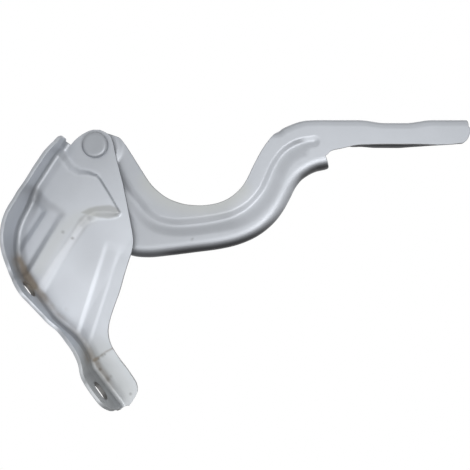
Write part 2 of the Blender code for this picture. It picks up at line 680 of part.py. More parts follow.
def main():
    clear_scene()
    parts = new_collection("hood_hinge")
    cutters = new_collection("cutters")
    pivot = bpy.data.objects.new("hinge_axis", None)
    parts.objects.link(pivot)
    mount = place(
        pad_point(UPPER_SLOT_STATION + ORIGIN_PAST_SLOT, PAD_DISTANCE + BRACKET_SHEET), -UPPER_SLOT_DEPTH
    )
    pivot.location = tuple(-mount)

    paint = finish("silver_paint", (0.55, 0.56, 0.59), 0.42, 0.55)
    liner = finish("bearing_liner", (0.10, 0.10, 0.11), 0.6, 0.0)

    make_bracket(parts, cutters, pivot, paint)
    make_arm(parts, cutters, pivot, paint)
    turned_object("pivot_rivet", rivet_profile(), 0.0, parts, pivot, paint)
    turned_object("flanged_bush", bush_profile(), BUSH_FRONT, parts, pivot, liner)
    thrust = ring_profile(WASHER_BORE, THRUST_WASHER_RADIUS, THRUST_WASHER_THICKNESS)
    turned_object("thrust_washer", thrust, THRUST_FRONT, parts, pivot, liner)
    backing = ring_profile(WASHER_BORE, BACKING_WASHER_RADIUS, BACKING_WASHER_THICKNESS)
    turned_object("backing_washer", backing, BACKING_FRONT, parts, pivot, paint)


main()
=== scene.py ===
# %% [markdown]
# # A hood hinge: two pressed sheets and a rivet
# The real object is a car's hood hinge. A bracket bolts to the body, a gooseneck arm bolts to
# the hood, and one rivet joins them. Both sheets are stamped steel about 3 mm thick, sprayed
# silver over a dark primer. The solids are loaded first and stay where they are. The three
# pieces that show get finer meshes in the same places, and every piece gets its finish here.

# %% Load the fixed solids
import math

import bpy
import numpy as np
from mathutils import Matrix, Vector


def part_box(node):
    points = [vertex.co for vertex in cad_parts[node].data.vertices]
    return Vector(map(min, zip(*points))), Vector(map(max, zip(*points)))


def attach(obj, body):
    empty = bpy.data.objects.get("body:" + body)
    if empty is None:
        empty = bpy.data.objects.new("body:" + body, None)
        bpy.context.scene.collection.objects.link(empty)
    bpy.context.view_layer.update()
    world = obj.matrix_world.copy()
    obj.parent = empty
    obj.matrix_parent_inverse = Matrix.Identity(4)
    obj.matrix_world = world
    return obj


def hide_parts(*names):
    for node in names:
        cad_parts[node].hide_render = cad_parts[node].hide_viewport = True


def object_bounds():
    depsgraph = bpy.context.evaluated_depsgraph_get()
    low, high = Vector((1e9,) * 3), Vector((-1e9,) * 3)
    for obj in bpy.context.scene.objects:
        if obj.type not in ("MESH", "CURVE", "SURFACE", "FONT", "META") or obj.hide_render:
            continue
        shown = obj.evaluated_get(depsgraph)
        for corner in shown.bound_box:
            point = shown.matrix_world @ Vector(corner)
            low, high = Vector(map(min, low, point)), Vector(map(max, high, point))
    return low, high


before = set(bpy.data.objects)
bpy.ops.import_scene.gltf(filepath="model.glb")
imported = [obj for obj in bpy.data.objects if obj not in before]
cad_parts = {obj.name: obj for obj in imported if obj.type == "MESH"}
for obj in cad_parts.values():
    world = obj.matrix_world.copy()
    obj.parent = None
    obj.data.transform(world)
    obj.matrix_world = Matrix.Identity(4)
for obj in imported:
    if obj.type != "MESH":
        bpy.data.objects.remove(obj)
cad_low, cad_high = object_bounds()
print("solids:", ", ".join(sorted(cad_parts)))
print("size in mm:", [round(1000 * (b - a), 1) for a, b in zip(cad_low, cad_high)])

# %% [markdown]
# ## Where the pivot is
# Every shape below is written around the pivot, as a press shop dimensions a hinge. Its place
# could be typed in, but the rivet's solid already has it, so it is read from there: the rivet's
# box is round the pivot in x and z, and its front face stands 4.3 mm in front of the sheet.
# The three directions are named as the camera sees them.

# %% The pivot's place
MM = 0.001
HEAD_PROUD = 4.3 * MM
RIGHT, AWAY, UP = np.eye(3)
rivet_low, rivet_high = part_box("pivot_rivet")
PIVOT = np.array(
    [
        (rivet_low.x + rivet_high.x) / 2,
        rivet_low.y + HEAD_PROUD,
        (rivet_low.z + rivet_high.z) / 2,
    ]
)
print("pivot in mm:", np.round(PIVOT / MM, 2))

# %% [markdown]
# ## Curves and ramps
# A pressing has no sharp drawing lines: every outline is a soft curve and every step a soft
# ramp. A few points and a Catmull-Rom curve give the first. A cubic ramp gives the second, or
# one with a straight middle where the die's wall is straight. All of them work on whole arrays
# at once, which keeps a grid of tens of thousands of points quick.


# %% Helpers for curves and ramps
def spline(points, per_span):
    """Catmull-Rom curve: between b and c it is
    (2b + (c-a)t + (2a-5b+4c-d)t^2 + (3b-a-3c+d)t^3) / 2, with neighbours a and d."""
    p = np.array(points, float)
    p = np.vstack([2 * p[0] - p[1], p, 2 * p[-1] - p[-2]])
    t = (np.arange(per_span) / per_span)[None, :, None]
    a, b, c, d = (p[i : len(p) - 3 + i, None] for i in range(4))
    square, cube = 2 * a - 5 * b + 4 * c - d, 3 * b - a - 3 * c + d
    spans = 0.5 * (2 * b + (c - a) * t + square * t**2 + cube * t**3)
    return np.vstack([spans.reshape(-1, p.shape[1]), p[-2:-1]])


def smooth(x):
    """Ramp from 0 to 1 with level ends: 3x^2 - 2x^3 between 0 and 1."""
    x = np.clip(x, 0.0, 1.0)
    return x * x * (3.0 - 2.0 * x)


def straight_ramp(x, rounding=0.22):
    """Ramp from 0 to 1 that is straight in the middle: its ends are parabolas over the rounding."""
    x = np.clip(x, 0.0, 1.0)
    end = np.minimum(x, 1.0 - x)
    near = end**2 / (2.0 * rounding * (1.0 - rounding))
    half = np.where(end < rounding, near, (end - rounding / 2.0) / (1.0 - rounding))
    return np.where(x < 0.5, half, 1.0 - half)


print("ramps at a quarter:", smooth(0.25), straight_ramp(0.25).round(3))


# %% Helpers for distances
def near_path(points, path, values=None):
    """Distance of each point to a path of corners, the path's own value at the nearest place, and
    the side there, 1 on its left and -1 on its right. For each straight bit the point's share along
    it is clipped to 0..1, the nearest bit wins, and the side is its cross product's sign."""
    best = np.full(points.shape[:-1], np.inf)
    carried, side = np.zeros((2, *best.shape))
    for i in range(len(path) - 1):
        along = path[i + 1] - path[i]
        to = points - path[i]
        share = np.clip(to @ along / max(along @ along, 1e-18), 0.0, 1.0)
        gap = np.linalg.norm(to - share[..., None] * along, axis=-1)
        nearer = gap < best
        best = np.where(nearer, gap, best)
        side = np.where(nearer, np.sign(along[0] * to[..., 1] - along[1] * to[..., 0]), side)
        if values is not None:
            carried = np.where(nearer, values[i] + share * (values[i + 1] - values[i]), carried)
    return best, carried, side


def inside(points, outline):
    """Whether each point lies in a closed outline: a ray to the right crosses it an odd number of times."""
    x, z = points[..., 0], points[..., 1]
    found = np.zeros(x.shape, bool)
    for (ax, az), (bx, bz) in zip(outline, np.roll(outline, -1, axis=0)):
        if az != bz:
            found ^= ((az > z) != (bz > z)) & (x < ax + (z - az) * (bx - ax) / (bz - az))
    return found


def side_normals(line):
    """Unit normals on the right of an (x, z) line as seen from the front: (dz, -dx) / length."""
    along = np.gradient(line, axis=0)
    across = np.stack([along[:, 1], -along[:, 0]], axis=1)
    return across / np.linalg.norm(across, axis=1, keepdims=True)


def place(xz, y):
    """Joins (x, z) points with their y."""
    return np.stack([xz[..., 0], np.broadcast_to(y, xz.shape[:-1]), xz[..., 1]], axis=-1)


# %% [markdown]
# ## From a pressed face to a sheet of steel
# Only the front face of each pressing has to be designed. The back is the same grid moved
# along its normals by the sheet's thickness. The sheared rim between them is rounded, because
# that small radius is what catches the light along the whole outline. Blender's Solidify and
# Bevel could do both, but a bevel on a long, nearly straight rim can throw spikes, so the rim's
# rings are worked out here. The holes are cut last, with exact Booleans.


# %% The mesh of a grid and its normals
def link(name, mesh):
    """Puts a mesh, camera or lamp into the scene as an object."""
    made = bpy.data.objects.new(name, mesh)
    bpy.context.scene.collection.objects.link(made)
    return made


def grid_quads(exists):
    """Vertex numbers of the quads of a grid, wherever all four corners exist."""
    index = np.full(exists.shape, -1)
    index[exists] = np.arange(exists.sum())
    corners = [index[:-1, :-1], index[1:, :-1], index[1:, 1:], index[:-1, 1:]]
    quads = np.stack(corners, axis=-1).reshape(-1, 4)
    return quads[quads.min(axis=1) >= 0]


def unit(vectors):
    """Vectors made one long."""
    return vectors / np.maximum(np.linalg.norm(vectors, axis=-1, keepdims=True), 1e-12)


def point_normals(points, quads):
    """Area-weighted normals: each quad's diagonals crossed, summed at its corners, made unit."""
    face = np.cross(points[quads[:, 2]] - points[quads[:, 0]], points[quads[:, 3]] - points[quads[:, 1]])
    total = np.zeros(points.shape)
    for corner in range(4):
        np.add.at(total, quads[:, corner], face)
    return unit(total)


def with_neighbours(grid, axis):
    """Each value twice, plus its two neighbours along one axis of the grid."""
    wide = np.pad(grid, [(1, 1) if axis == k else (0, 0) for k in range(grid.ndim)], mode="edge")
    low, high = (wide[:-2], wide[2:]) if axis == 0 else (wide[:, :-2], wide[:, 2:])
    return low + 2.0 * grid + high


def softened(normals, exists, passes):
    """Normals averaged 1-2-1 with their neighbours, so the back of a steep step stays clear of itself."""
    grid = np.zeros((*exists.shape, 3))
    grid[exists] = normals
    for _ in range(passes):
        for axis in (0, 1):
            grid = with_neighbours(grid, axis) * exists[..., None]
        grid = unit(grid)
    return grid[exists]


# %% The border of a grid
RIM_RADIUS = 0.6 * MM
RIM_STEPS = 4
RIM_SHARE = 0.7


def border_frame(points, quads, normal):
    """The directed edges that only one quad uses, their points, the way out of the sheet at each,
    and the rim's radius there, which is at most a share of the first face inside the border."""
    count = len(points)
    ends = np.concatenate([quads[:, [k, (k + 1) % 4]] for k in range(4)])
    forward = ends[:, 0] * count + ends[:, 1]
    backward = ends[:, 1] * count + ends[:, 0]
    edges = ends[~np.isin(forward, backward)]
    out = np.zeros(points.shape)
    side = unit(np.cross(points[edges[:, 1]] - points[edges[:, 0]], normal[edges[:, 0]]))
    np.add.at(out, edges[:, 0], side)
    np.add.at(out, edges[:, 1], side)
    border = np.unique(edges)
    on_border = np.isin(np.arange(count), border)
    inward = ends[on_border[ends[:, 0]] & ~on_border[ends[:, 1]]]
    first_face = np.linalg.norm(points[inward[:, 0]] - points[inward[:, 1]], axis=1)
    radius = np.full(count, RIM_RADIUS)
    np.minimum.at(radius, inward[:, 0], RIM_SHARE * first_face)
    return edges, border, unit(out)[border], radius[border, None]


# %% A sheet of steel from its front face
def sheet_mesh(name, rows, exists, thickness, softening):
    """Front grid P, back grid P - n t, and a rim of rings: from each border point the front arc is
    P - o r (1 - sin a) - n r (1 - cos a), with o pointing out of the sheet, and the back arc mirrors
    it. The attribute called sheared is 0 on the faces and 1 in the middle of the rim."""
    points, quads = rows[exists], grid_quads(exists)
    count = len(points)
    normal = point_normals(points, quads)
    through = softened(normal, exists, softening)
    back = points - through * thickness
    edges, border, o, r = border_frame(points, quads, normal)
    n = through[border]
    turn = np.linspace(0.0, math.pi / 2, RIM_STEPS + 1)[:, None, None]
    cover, sink = o * r * (1.0 - np.sin(turn)), n * r * (1.0 - np.cos(turn))
    rings = np.concatenate([points[border] - cover - sink, (back[border] - cover + sink)[::-1]])
    front = points.copy()
    front[border], back[border] = rings[0], rings[-1]

    number = np.empty((len(rings), count), int)
    number[:, border] = 2 * count + np.arange(len(rings) * len(border)).reshape(len(rings), -1)
    number[0, border], number[-1, border] = border, border + count
    a, b = number[:, edges[:, 0]], number[:, edges[:, 1]]
    rim = np.stack([b[:-1], a[:-1], a[1:], b[1:]], axis=-1).reshape(-1, 4)
    vertices = np.concatenate([front, back, rings.reshape(-1, 3)]) + PIVOT
    faces = np.concatenate([quads, quads[:, ::-1] + count, rim])
    used, faces = np.unique(faces, return_inverse=True)
    mesh = bpy.data.meshes.new(name)
    mesh.from_pydata(vertices[used], [], faces.reshape(-1, 4))
    over_rim = np.sin(np.linspace(0.0, math.pi, len(rings))) ** 0.5
    sheared = np.zeros(len(vertices), np.float32)
    sheared[2 * count :] = np.repeat(over_rim, len(border))
    mesh.attributes.new("sheared", "FLOAT", "POINT").data.foreach_set("value", sheared[used])
    return mesh


# %% The sheet's holes
SHARP_ANGLE = math.radians(40.0)


def pressed_sheet(name, rows, exists, thickness, cutters, softening):
    """A sheet with its holes: the exact Booleans' result becomes one plain mesh."""
    rough = link("rough_" + name, sheet_mesh("rough_" + name, rows, exists, thickness, softening))
    for cutter in cutters:
        boolean = rough.modifiers.new("Cut", "BOOLEAN")
        boolean.operation = "DIFFERENCE"
        boolean.solver = "EXACT"
        boolean.object = cutter
    graph = bpy.context.evaluated_depsgraph_get()
    mesh = bpy.data.meshes.new_from_object(rough.evaluated_get(graph), depsgraph=graph)
    for used in [rough, *cutters]:
        bpy.data.objects.remove(used)
    mesh.name = name
    mesh.shade_smooth()
    mesh.set_sharp_from_angle(angle=SHARP_ANGLE)
    print(f"{name}: {len(mesh.polygons)} faces")
    return link(name, mesh)


def slot_cutter(centre, along, through, length, width, reach):
    """A round-ended prism: half circles of the slot's width round two centres, length - width apart.
    A round hole is a slot that is hardly longer than it is wide."""
    across = np.cross(through, along)
    angle = np.linspace(-math.pi / 2, math.pi / 2, 25)
    half = length / 2 - width / 2
    forward = (half + width / 2 * np.cos(angle))[:, None]
    sideways = (width / 2 * np.sin(angle))[:, None]
    end = along * forward + across * sideways
    outline = centre + np.vstack([end, -end])
    count = len(outline)
    vertices = np.vstack([outline - through * reach, outline + through * reach]) + PIVOT
    step = np.arange(count)
    after = (step + 1) % count
    sides = np.stack([step, after, count + after, count + step], axis=1).tolist()
    mesh = bpy.data.meshes.new("cutter")
    mesh.from_pydata(vertices, [], [step[::-1].tolist(), (step + count).tolist()] + sides)
    return link("cutter", mesh)


# %% [markdown]
# ## The bracket's outline
# The bracket is one blank: a wall that faces the camera and a flange folded towards it along
# the left, which bolts to the body. Each rib below crosses the sheet once: the point where the
# fold starts, how deep the flange stands, and the point on the wall's free edge.

# %% The bracket's ribs
BRACKET_SHEET = 2.8 * MM
PAD_SLOPE = math.radians(54.0)
PAD_DISTANCE = 99.4 * MM
BRACKET_BEND = 3.0 * MM
PAD_ALONG = np.array([math.cos(PAD_SLOPE), -math.sin(PAD_SLOPE)])
PAD_OUT = np.array([-math.sin(PAD_SLOPE), -math.cos(PAD_SLOPE)])


def pad_point(station, distance=PAD_DISTANCE):
    """A point on the line of the two bolt seats: out * distance + along * station."""
    return PAD_OUT * distance + PAD_ALONG * station


def on_pad(station, depth, edge):
    """A rib that starts at the fold of the straight bolt seats, in millimetres."""
    x, z = pad_point(station * MM, PAD_DISTANCE - BRACKET_BEND) / MM
    return (x, z, depth, *edge)


BRACKET_RIBS = (
    (-1.6, 11.7, 0.0, 3.4, 11.6),
    (-5.0, 10.7, 0.0, 7.0, 10.0),
    (-9.9, 8.2, 0.0, 10.9, 7.2),
    (-14.8, 4.4, 0.0, 13.2, 1.8),
    (-18.4, 0.3, 16.5, 14.2, -3.2),
    (-21.0, -3.7, 20.6, 15.3, -8.0),
    (-23.9, -7.4, 22.5, 16.4, -12.6),
    (-26.9, -11.5, 24.0, 17.6, -17.0),
    (-30.2, -16.6, 24.4, 18.6, -21.0),
    (-33.7, -22.1, 25.0, 19.7, -25.2),
    (-37.3, -27.6, 24.3, 20.8, -29.4),
    (-40.6, -33.0, 24.9, 21.7, -33.8),
    (-43.4, -38.8, 28.4, 22.6, -38.2),
    (-45.6, -44.8, 31.7, 23.6, -43.0),
    (-48.6, -51.0, 33.7, 24.8, -49.0),
    (-51.6, -56.9, 32.6, 25.9, -54.8),
    (-54.2, -64.4, 30.2, 27.0, -60.6),
    (-55.2, -72.5, 28.0, 28.0, -66.4),
    (-54.8, -81.0, 24.4, 28.5, -73.0),
    on_pad(43.0, 19.8, (27.2, -79.8)),
    on_pad(50.0, 24.7, (24.8, -86.5)),
    on_pad(60.0, 27.7, (21.2, -98.0)),
    on_pad(70.0, 24.1, (18.0, -109.3)),
    on_pad(80.0, 20.0, (14.2, -119.8)),
    on_pad(87.0, 16.9, (10.8, -130.0)),
    (-20.6, -132.9, 15.2, 9.3, -137.5),
    (-13.2, -139.4, 20.4, 9.4, -143.3),
    (-6.4, -147.6, 22.9, 11.2, -149.4),
    (-1.3, -156.9, 25.2, 15.0, -156.0),
    on_pad(134.0, 26.4, (19.2, -162.4)),
    on_pad(139.0, 29.4, (22.8, -167.1)),
    on_pad(150.0, 30.0, (27.1, -173.6)),
    on_pad(158.0, 28.3, (30.3, -179.1)),
    on_pad(164.0, 21.6, (31.1, -185.3)),
    on_pad(168.5, 11.5, (28.4, -191.1)),
    (22.5, -196.2, 2.2, 25.0, -196.0),
)
FLANGE_FIRST_RIB = 4
FLANGE_EAR = 2.0 * MM
EAR_RAMP = 5.0 * MM
EAR_CORNER = 6.0 * MM
EAR_TOP = 2.0 * MM
print("ribs across the bracket:", len(BRACKET_RIBS))

# %% [markdown]
# ## The bracket's pressed steps
# The wall is stiffened by a raised panel with three steps, a shallow groove and a kinked foot.
# Each step is a closed outline whose points also carry the width of the ramp there: 1 to 2 mm
# where the die sheared it steep, 6 to 8 mm where it drew it soft. The height is the rise times
# a ramp of the signed distance over that width. The outlines share the panel's edge from the
# pivot down to the fold, where all three steps fall together. The groove and the foot's kink
# are straight lines, so two points give each.

# %% Outlines of the steps: x, z and ramp width in millimetres
PANEL_EDGE = (
    (-28.0, 4.0, 6.0), (-25.3, -4.5, 6.0), (-22.0, -11.0, 6.0), (-17.6, -16.8, 6.0), (-11.8, -20.1, 5.6),
    (-4.6, -20.9, 4.6), (1.4, -22.9, 2.8), (4.0, -25.9, 1.6), (9.8, -35.2, 1.2), (16.4, -46.6, 1.2),
    (18.6, -50.2, 2.0), (17.6, -52.2, 4.0), (14.0, -53.0, 6.5), (8.5, -52.8, 8.0), (1.5, -53.2, 8.0),
    (-4.8, -55.4, 7.0), (-10.2, -60.8, 6.0), (-15.6, -69.3, 6.0), (-26.5, -86.0, 7.0), (-37.6, -104.4, 8.0),
    (-44.0, -115.0, 8.0),
)
THIRD_STEP = PANEL_EDGE + (
    (-58.0, -112.0, 6.0), (-52.0, -98.0, 5.2), (-46.4, -88.6, 5.2), (-41.5, -80.2, 5.2), (-32.0, -64.5, 5.2),
    (-23.9, -51.6, 5.6), (-27.0, -49.0, 6.6), (-33.0, -44.0, 7.6), (-38.6, -38.8, 8.0), (-44.0, -33.6, 7.0),
    (-60.0, -24.0, 6.0), (-60.0, 4.0, 5.0),
)
SECOND_STEP = PANEL_EDGE + (
    (-64.0, -112.0, 6.0), (-64.0, -92.0, 5.4), (-56.5, -80.0, 5.4), (-53.2, -74.0, 5.4), (-44.4, -61.0, 5.4),
    (-36.9, -49.4, 5.4), (-41.0, -44.0, 5.4), (-50.0, -36.0, 5.0), (-60.0, -24.0, 5.0), (-60.0, 4.0, 5.0),
)
FIRST_STEP = PANEL_EDGE + ((-80.0, -112.0, 6.0), (-80.0, 4.0, 5.0))
STEPS = ((FIRST_STEP, 1.8 * MM), (SECOND_STEP, 1.3 * MM), (THIRD_STEP, 1.8 * MM))
print("the panel stands out by, mm:", round(sum(rise for _, rise in STEPS) / MM, 1))

# %% Tilts, groove and kink
STEP_ROUNDING = 0.3
PANEL_TILT = math.radians(2.6)
PANEL_LEFT = -40.0 * MM
WALL_TILT = math.radians(4.0)
WALL_FACING = np.array([0.87, -0.5])
WALL_EDGE = 58.0 * MM
WALL_TILT_TOP = -30.0 * MM
WALL_TILT_RUN = 50.0 * MM
GROOVE = np.array([(11.6, -80.0), (-8.3, -142.0)]) * MM
GROOVE_WALLS = ((0.9, 7.0, 4.0), (-0.25, 3.0, 7.0), (0.35, -4.0, 3.0))
GROOVE_TOP_SHARE = 0.6
GROOVE_DEEPENING = 30.0 * MM
GROOVE_TOP_RUN = 9.0 * MM
GROOVE_LENGTH = 62.0 * MM
GROOVE_END_RUN = 14.0 * MM
FOOT_KINK = np.array([(12.6, -152.1), (-0.4, -161.1)]) * MM
FOOT_TILT = math.radians(3.0)
print("groove length in mm:", round(np.linalg.norm(GROOVE[1] - GROOVE[0]) / MM, 1))


# %% Heights of the pressed wall
def step_height(points, outline, rise):
    """rise * ramp(0.5 + signed distance / ramp width), with the width carried along the outline."""
    closed = np.array([*outline, outline[0]]) * MM
    distance, width, _ = near_path(points, closed[:, :2], closed[:, 2])
    signed = np.where(inside(points, closed[:-1, :2]), distance, -distance)
    return rise * straight_ramp(0.5 + signed / width, STEP_ROUNDING)


def groove_depth(points):
    """Sum over the walls (depth, begin, width) of depth * ramp((s + begin) / width), with s the
    millimetres to the right of the groove's line: a steep drop, a slow rise and a small lip. It
    runs in from above its top end, deepens on its way and runs out."""
    start, end = GROOVE
    down = (end - start) / np.linalg.norm(end - start)
    along = (points - start) @ down
    s = (points - start) @ np.array([-down[1], down[0]]) / MM
    depth = sum(drop * MM * smooth((s + begin) / width) for drop, begin, width in GROOVE_WALLS)
    depth *= GROOVE_TOP_SHARE + (1.0 - GROOVE_TOP_SHARE) * smooth(along / GROOVE_DEEPENING)
    run_in = smooth(1.0 - np.maximum(-along, 0.0) / GROOVE_TOP_RUN)
    return depth * run_in * smooth(1.0 - (along - GROOVE_LENGTH) / GROOVE_END_RUN)


def bracket_relief(points):
    """Height of the wall towards the camera: the three steps, less the raised panel's tilt, plus
    the lower wall's tilt, which grows with the distance from its right edge, less the groove, and
    less the foot's tilt past its kink."""
    steps = [step_height(points, outline, rise) for outline, rise in STEPS]
    height = sum(steps)
    height -= steps[2] / STEPS[2][1] * math.tan(PANEL_TILT) * (points[..., 0] - PANEL_LEFT)
    below = smooth((WALL_TILT_TOP - points[..., 1]) / WALL_TILT_RUN) * (1.0 - steps[0] / STEPS[0][1])
    height += below * math.tan(WALL_TILT) * np.maximum(WALL_EDGE - points @ WALL_FACING, 0.0)
    height -= groove_depth(points)
    start, end = FOOT_KINK
    across = np.array([start[1] - end[1], end[0] - start[0]]) / np.linalg.norm(end - start)
    past = (points - start) @ across
    return height - math.tan(FOOT_TILT) * np.maximum(past, 0.0)


# %% The bracket's face
ROWS_PER_RIB = 11
FLANGE_STEPS = 25
BEND_STEPS = 8
WALL_COLUMNS = 96
SOFT_EDGE = np.array([(-46.0, -35.0), (-34.0, -47.0), (-22.0, -55.0)]) * MM
SOFT_REACH = 10.0 * MM
SOFT_PASSES = 7


def softened_relief(level, wall):
    """The relief averaged 1-2-1 both ways a few times, near the one edge that the die drew soft."""
    soft = level
    for _ in range(SOFT_PASSES):
        for axis in (0, 1):
            soft = with_neighbours(soft, axis) / 4.0
    keep = smooth(near_path(wall, SOFT_EDGE)[0] / SOFT_REACH)
    return level * keep + soft * (1.0 - keep)


def bracket_surface():
    """Front face as rows down the fold: flange edge, quarter-circle bend, then the wall between
    fold and free edge, where wall(s) = fold * (1 - s) + edge * s and y = -relief. The flange's top
    corner stands up by an ear past the relief notch at the bend."""
    ribs = spline(BRACKET_RIBS, ROWS_PER_RIB) * MM
    first = FLANGE_FIRST_RIB * ROWS_PER_RIB
    fold, depth, edge = ribs[:, :2], ribs[:, 2:3], ribs[:, 3:]
    out = np.zeros(fold.shape)
    out[first:] = side_normals(fold[first:])
    share = np.linspace(0.0, 1.0, WALL_COLUMNS + 1)[None, :, None]
    wall = fold[:, None] * (1.0 - share) + edge[:, None] * share
    level = softened_relief(bracket_relief(wall), wall)
    start = level[:, :1] + BRACKET_BEND
    step = np.linspace(0.0, 1.0, FLANGE_STEPS)[None, :]
    ahead = depth * (1.0 - step) + start * step
    from_first = np.arange(len(ribs))[:, None] / ROWS_PER_RIB - FLANGE_FIRST_RIB
    ear = FLANGE_EAR * np.clip(1.0 - from_first, 0.0, 1.0) * smooth((ahead - start) / EAR_RAMP)
    ear *= smooth((depth + EAR_TOP - ahead) / EAR_CORNER)
    upward = np.stack([-out[:, 1], out[:, 0]], axis=1)
    flange = place((fold + out * BRACKET_BEND)[:, None] - upward[:, None] * ear[..., None], -ahead)
    angle = np.linspace(0.0, math.pi / 2, BEND_STEPS)[None, 1:-1]
    bend = place(
        fold[:, None] + out[:, None] * BRACKET_BEND * np.cos(angle)[..., None],
        -(start - BRACKET_BEND * np.sin(angle)),
    )
    rows = np.concatenate([flange, bend, place(wall, -level)], axis=1)
    exists = np.ones(rows.shape[:2], bool)
    exists[:first, : flange.shape[1] + bend.shape[1]] = False
    return rows, exists


rows, exists = bracket_surface()
print("points on the bracket's face:", exists.sum())

# %% The bracket's sheet with its holes
BOLT_SLOTS = ((59.5, 12.5, 13.0), (150.0, 16.5, 15.0))
BOLT_SLOT_WIDTH = 10.5
PIVOT_HOLE = 10.6
SEAT_REACH, WALL_REACH = 6.0 * MM, 8.0 * MM
HARDLY_LONGER = 0.01
pad_along = np.array([PAD_ALONG[0], 0.0, PAD_ALONG[1]])
pad_out = np.array([PAD_OUT[0], 0.0, PAD_OUT[1]])
bracket_cutters = []
for station, depth, length in BOLT_SLOTS:
    centre = place(pad_point(station * MM), -depth * MM)
    cutter = slot_cutter(centre, pad_along, pad_out, length * MM, BOLT_SLOT_WIDTH * MM, SEAT_REACH)
    bracket_cutters.append(cutter)
hole = slot_cutter(np.zeros(3), RIGHT, AWAY, (PIVOT_HOLE + HARDLY_LONGER) * MM, PIVOT_HOLE * MM, WALL_REACH)
bracket_cutters.append(hole)
bracket = pressed_sheet("bracket_pressing", rows, exists, BRACKET_SHEET, bracket_cutters, softening=8)

# %% [markdown]
# ## The arm
# The gooseneck carries the hood round the fender's edge. Its web faces the camera, the lower
# edge folds away in a soft bend, and beyond the gooseneck the top edge folds away too, into a
# flat hood flange that ends in a turned-down lip. A long bead stiffens the web, with a steep
# wall above and a soft one below, and it closes in a shallow round end near the bar. Ribs give
# the outline again, as (x, z) on the lower edge and (x, z) on the upper one, and every fold
# grows out of the flat sheet over a few ribs.

# %% The arm's ribs
ARM_SHEET = 3.0 * MM
ARM_WEB_FRONT = 6.4 * MM
ARM_RIBS = (
    (-5.5, 9.5, 5.0, 10.6),
    (-10.2, 4.0, 13.0, 8.1),
    (-11.0, -3.0, 17.4, 6.4),
    (-9.8, -11.0, 21.0, 1.8),
    (-7.0, -22.0, 26.8, -7.2),
    (-1.5, -36.0, 33.0, -17.1),
    (5.5, -52.0, 39.4, -26.9),
    (13.5, -66.0, 44.6, -32.6),
    (24.2, -75.1, 50.4, -37.3),
    (37.0, -77.2, 56.6, -40.7),
    (54.0, -75.7, 66.2, -43.7),
    (74.0, -73.2, 77.0, -44.7),
    (90.1, -71.1, 85.5, -44.1),
    (104.4, -67.9, 93.6, -42.2),
    (117.2, -62.5, 101.6, -38.2),
    (127.4, -54.9, 108.4, -32.3),
    (134.9, -46.0, 113.2, -25.6),
    (140.8, -35.5, 118.6, -14.5),
    (145.2, -26.9, 123.9, -4.5),
    (150.9, -19.6, 129.5, 4.0),
    (157.9, -14.5, 136.1, 11.2),
    (165.7, -10.3, 145.0, 16.3),
    (173.9, -7.3, 156.4, 20.2),
    (178.3, -3.1, 168.0, 21.0),
    (187.0, -1.0, 181.0, 21.0),
    (197.0, 1.2, 193.0, 21.0),
    (206.0, 1.7, 205.0, 21.0),
    (213.0, 1.9, 213.0, 21.0),
    (219.0, 2.0, 219.0, 21.0),
    (236.0, 2.0, 236.0, 21.0),
    (243.0, 2.0, 243.0, 21.0),
    (250.0, 1.8, 250.0, 21.0),
    (264.0, 1.5, 264.0, 21.0),
    (278.0, 2.4, 282.6, 21.0),
)
print("ribs across the arm:", len(ARM_RIBS))

# %% The arm's folds, bead and pad
GOOSENECK_FLANGE_RIBS = (4, 22)
HOOD_FLANGE_FIRST_RIB = 19
LIP_FIRST_RIB = 23
GOOSENECK_GROWTH = 3.0
HOOD_TURN_GROWTH = 1.6
HOOD_FLAT_DELAY = 0.5
HOOD_FLAT_GROWTH = 2.5
LIP_AHEAD = 0.4
LIP_GROWTH = 2.2
GOOSENECK_BEND = 9.5 * MM
GOOSENECK_SET_IN = 2.0 * MM
GOOSENECK_FLANGE = 3.5 * MM
BAR_BEND = 5.5 * MM
HOOD_FLANGE_FLAT = 16.0 * MM
FOLD_START = 0.05
FLANGE_START = 0.3 * MM
BEAD_LINE = (
    (8.5, -11.0), (16.7, -24.4), (23.0, -34.8), (30.0, -44.0), (37.4, -53.0), (46.6, -58.8), (60.6, -61.2),
    (79.6, -59.7), (97.1, -56.3), (107.7, -52.1), (117.6, -45.2), (127.5, -33.1),
    (135.1, -16.3), (142.0, -6.1), (149.6, -0.4), (157.9, 2.7), (165.0, 4.0),
)
BEAD_STEPS = 6
BEAD_DEPTHS = (2.1 * MM, 2.3 * MM)
BEAD_UPPER_WALLS = (7.4 * MM, 5.4 * MM)
BEAD_LOWER_WALLS = (8.0 * MM, 11.0 * MM)
BEAD_NARROWS = (80.0 * MM, 50.0 * MM)
BEAD_START = 45.0 * MM
BEAD_CLOSE = 8.0 * MM
BEAD_CLOSE_FROM = 1.6
BEAD_END_WALL = 5.0 * MM
BEAD_END_DEPTH = 0.65
PIVOT_PAD_RADIUS = 20.5 * MM
PIVOT_PAD_RAMP = 5.0 * MM
PIVOT_PAD_HEIGHT = 1.8 * MM
LIP_EDGE = np.array((
    (181.0, 16.5), (188.0, 11.0), (193.0, 5.5), (198.0, 3.7), (209.0, 3.6), (217.0, 3.0),
    (236.0, 2.9), (248.0, 3.7), (262.0, 4.7), (275.0, 5.4), (281.0, 11.0),
)) * MM
HOOD_RECESS = (200.0 * MM, 256.0 * MM)
HOOD_RECESS_DEPTH = 2.2 * MM
HOOD_RECESS_SLOPE = 20.0 * MM
TIP_BULGE = 3.0 * MM
STATIONS_PER_RIB = 11
WEB_COLUMNS = 44
LOW_BEND, LOW_FLAT = 9, 5
HIGH_BEND, HOOD_FLAT, LIP_FLAT = 7, 8, 6
print("hood flange's width in mm:", round((BAR_BEND + HOOD_FLANGE_FLAT) / MM, 1))


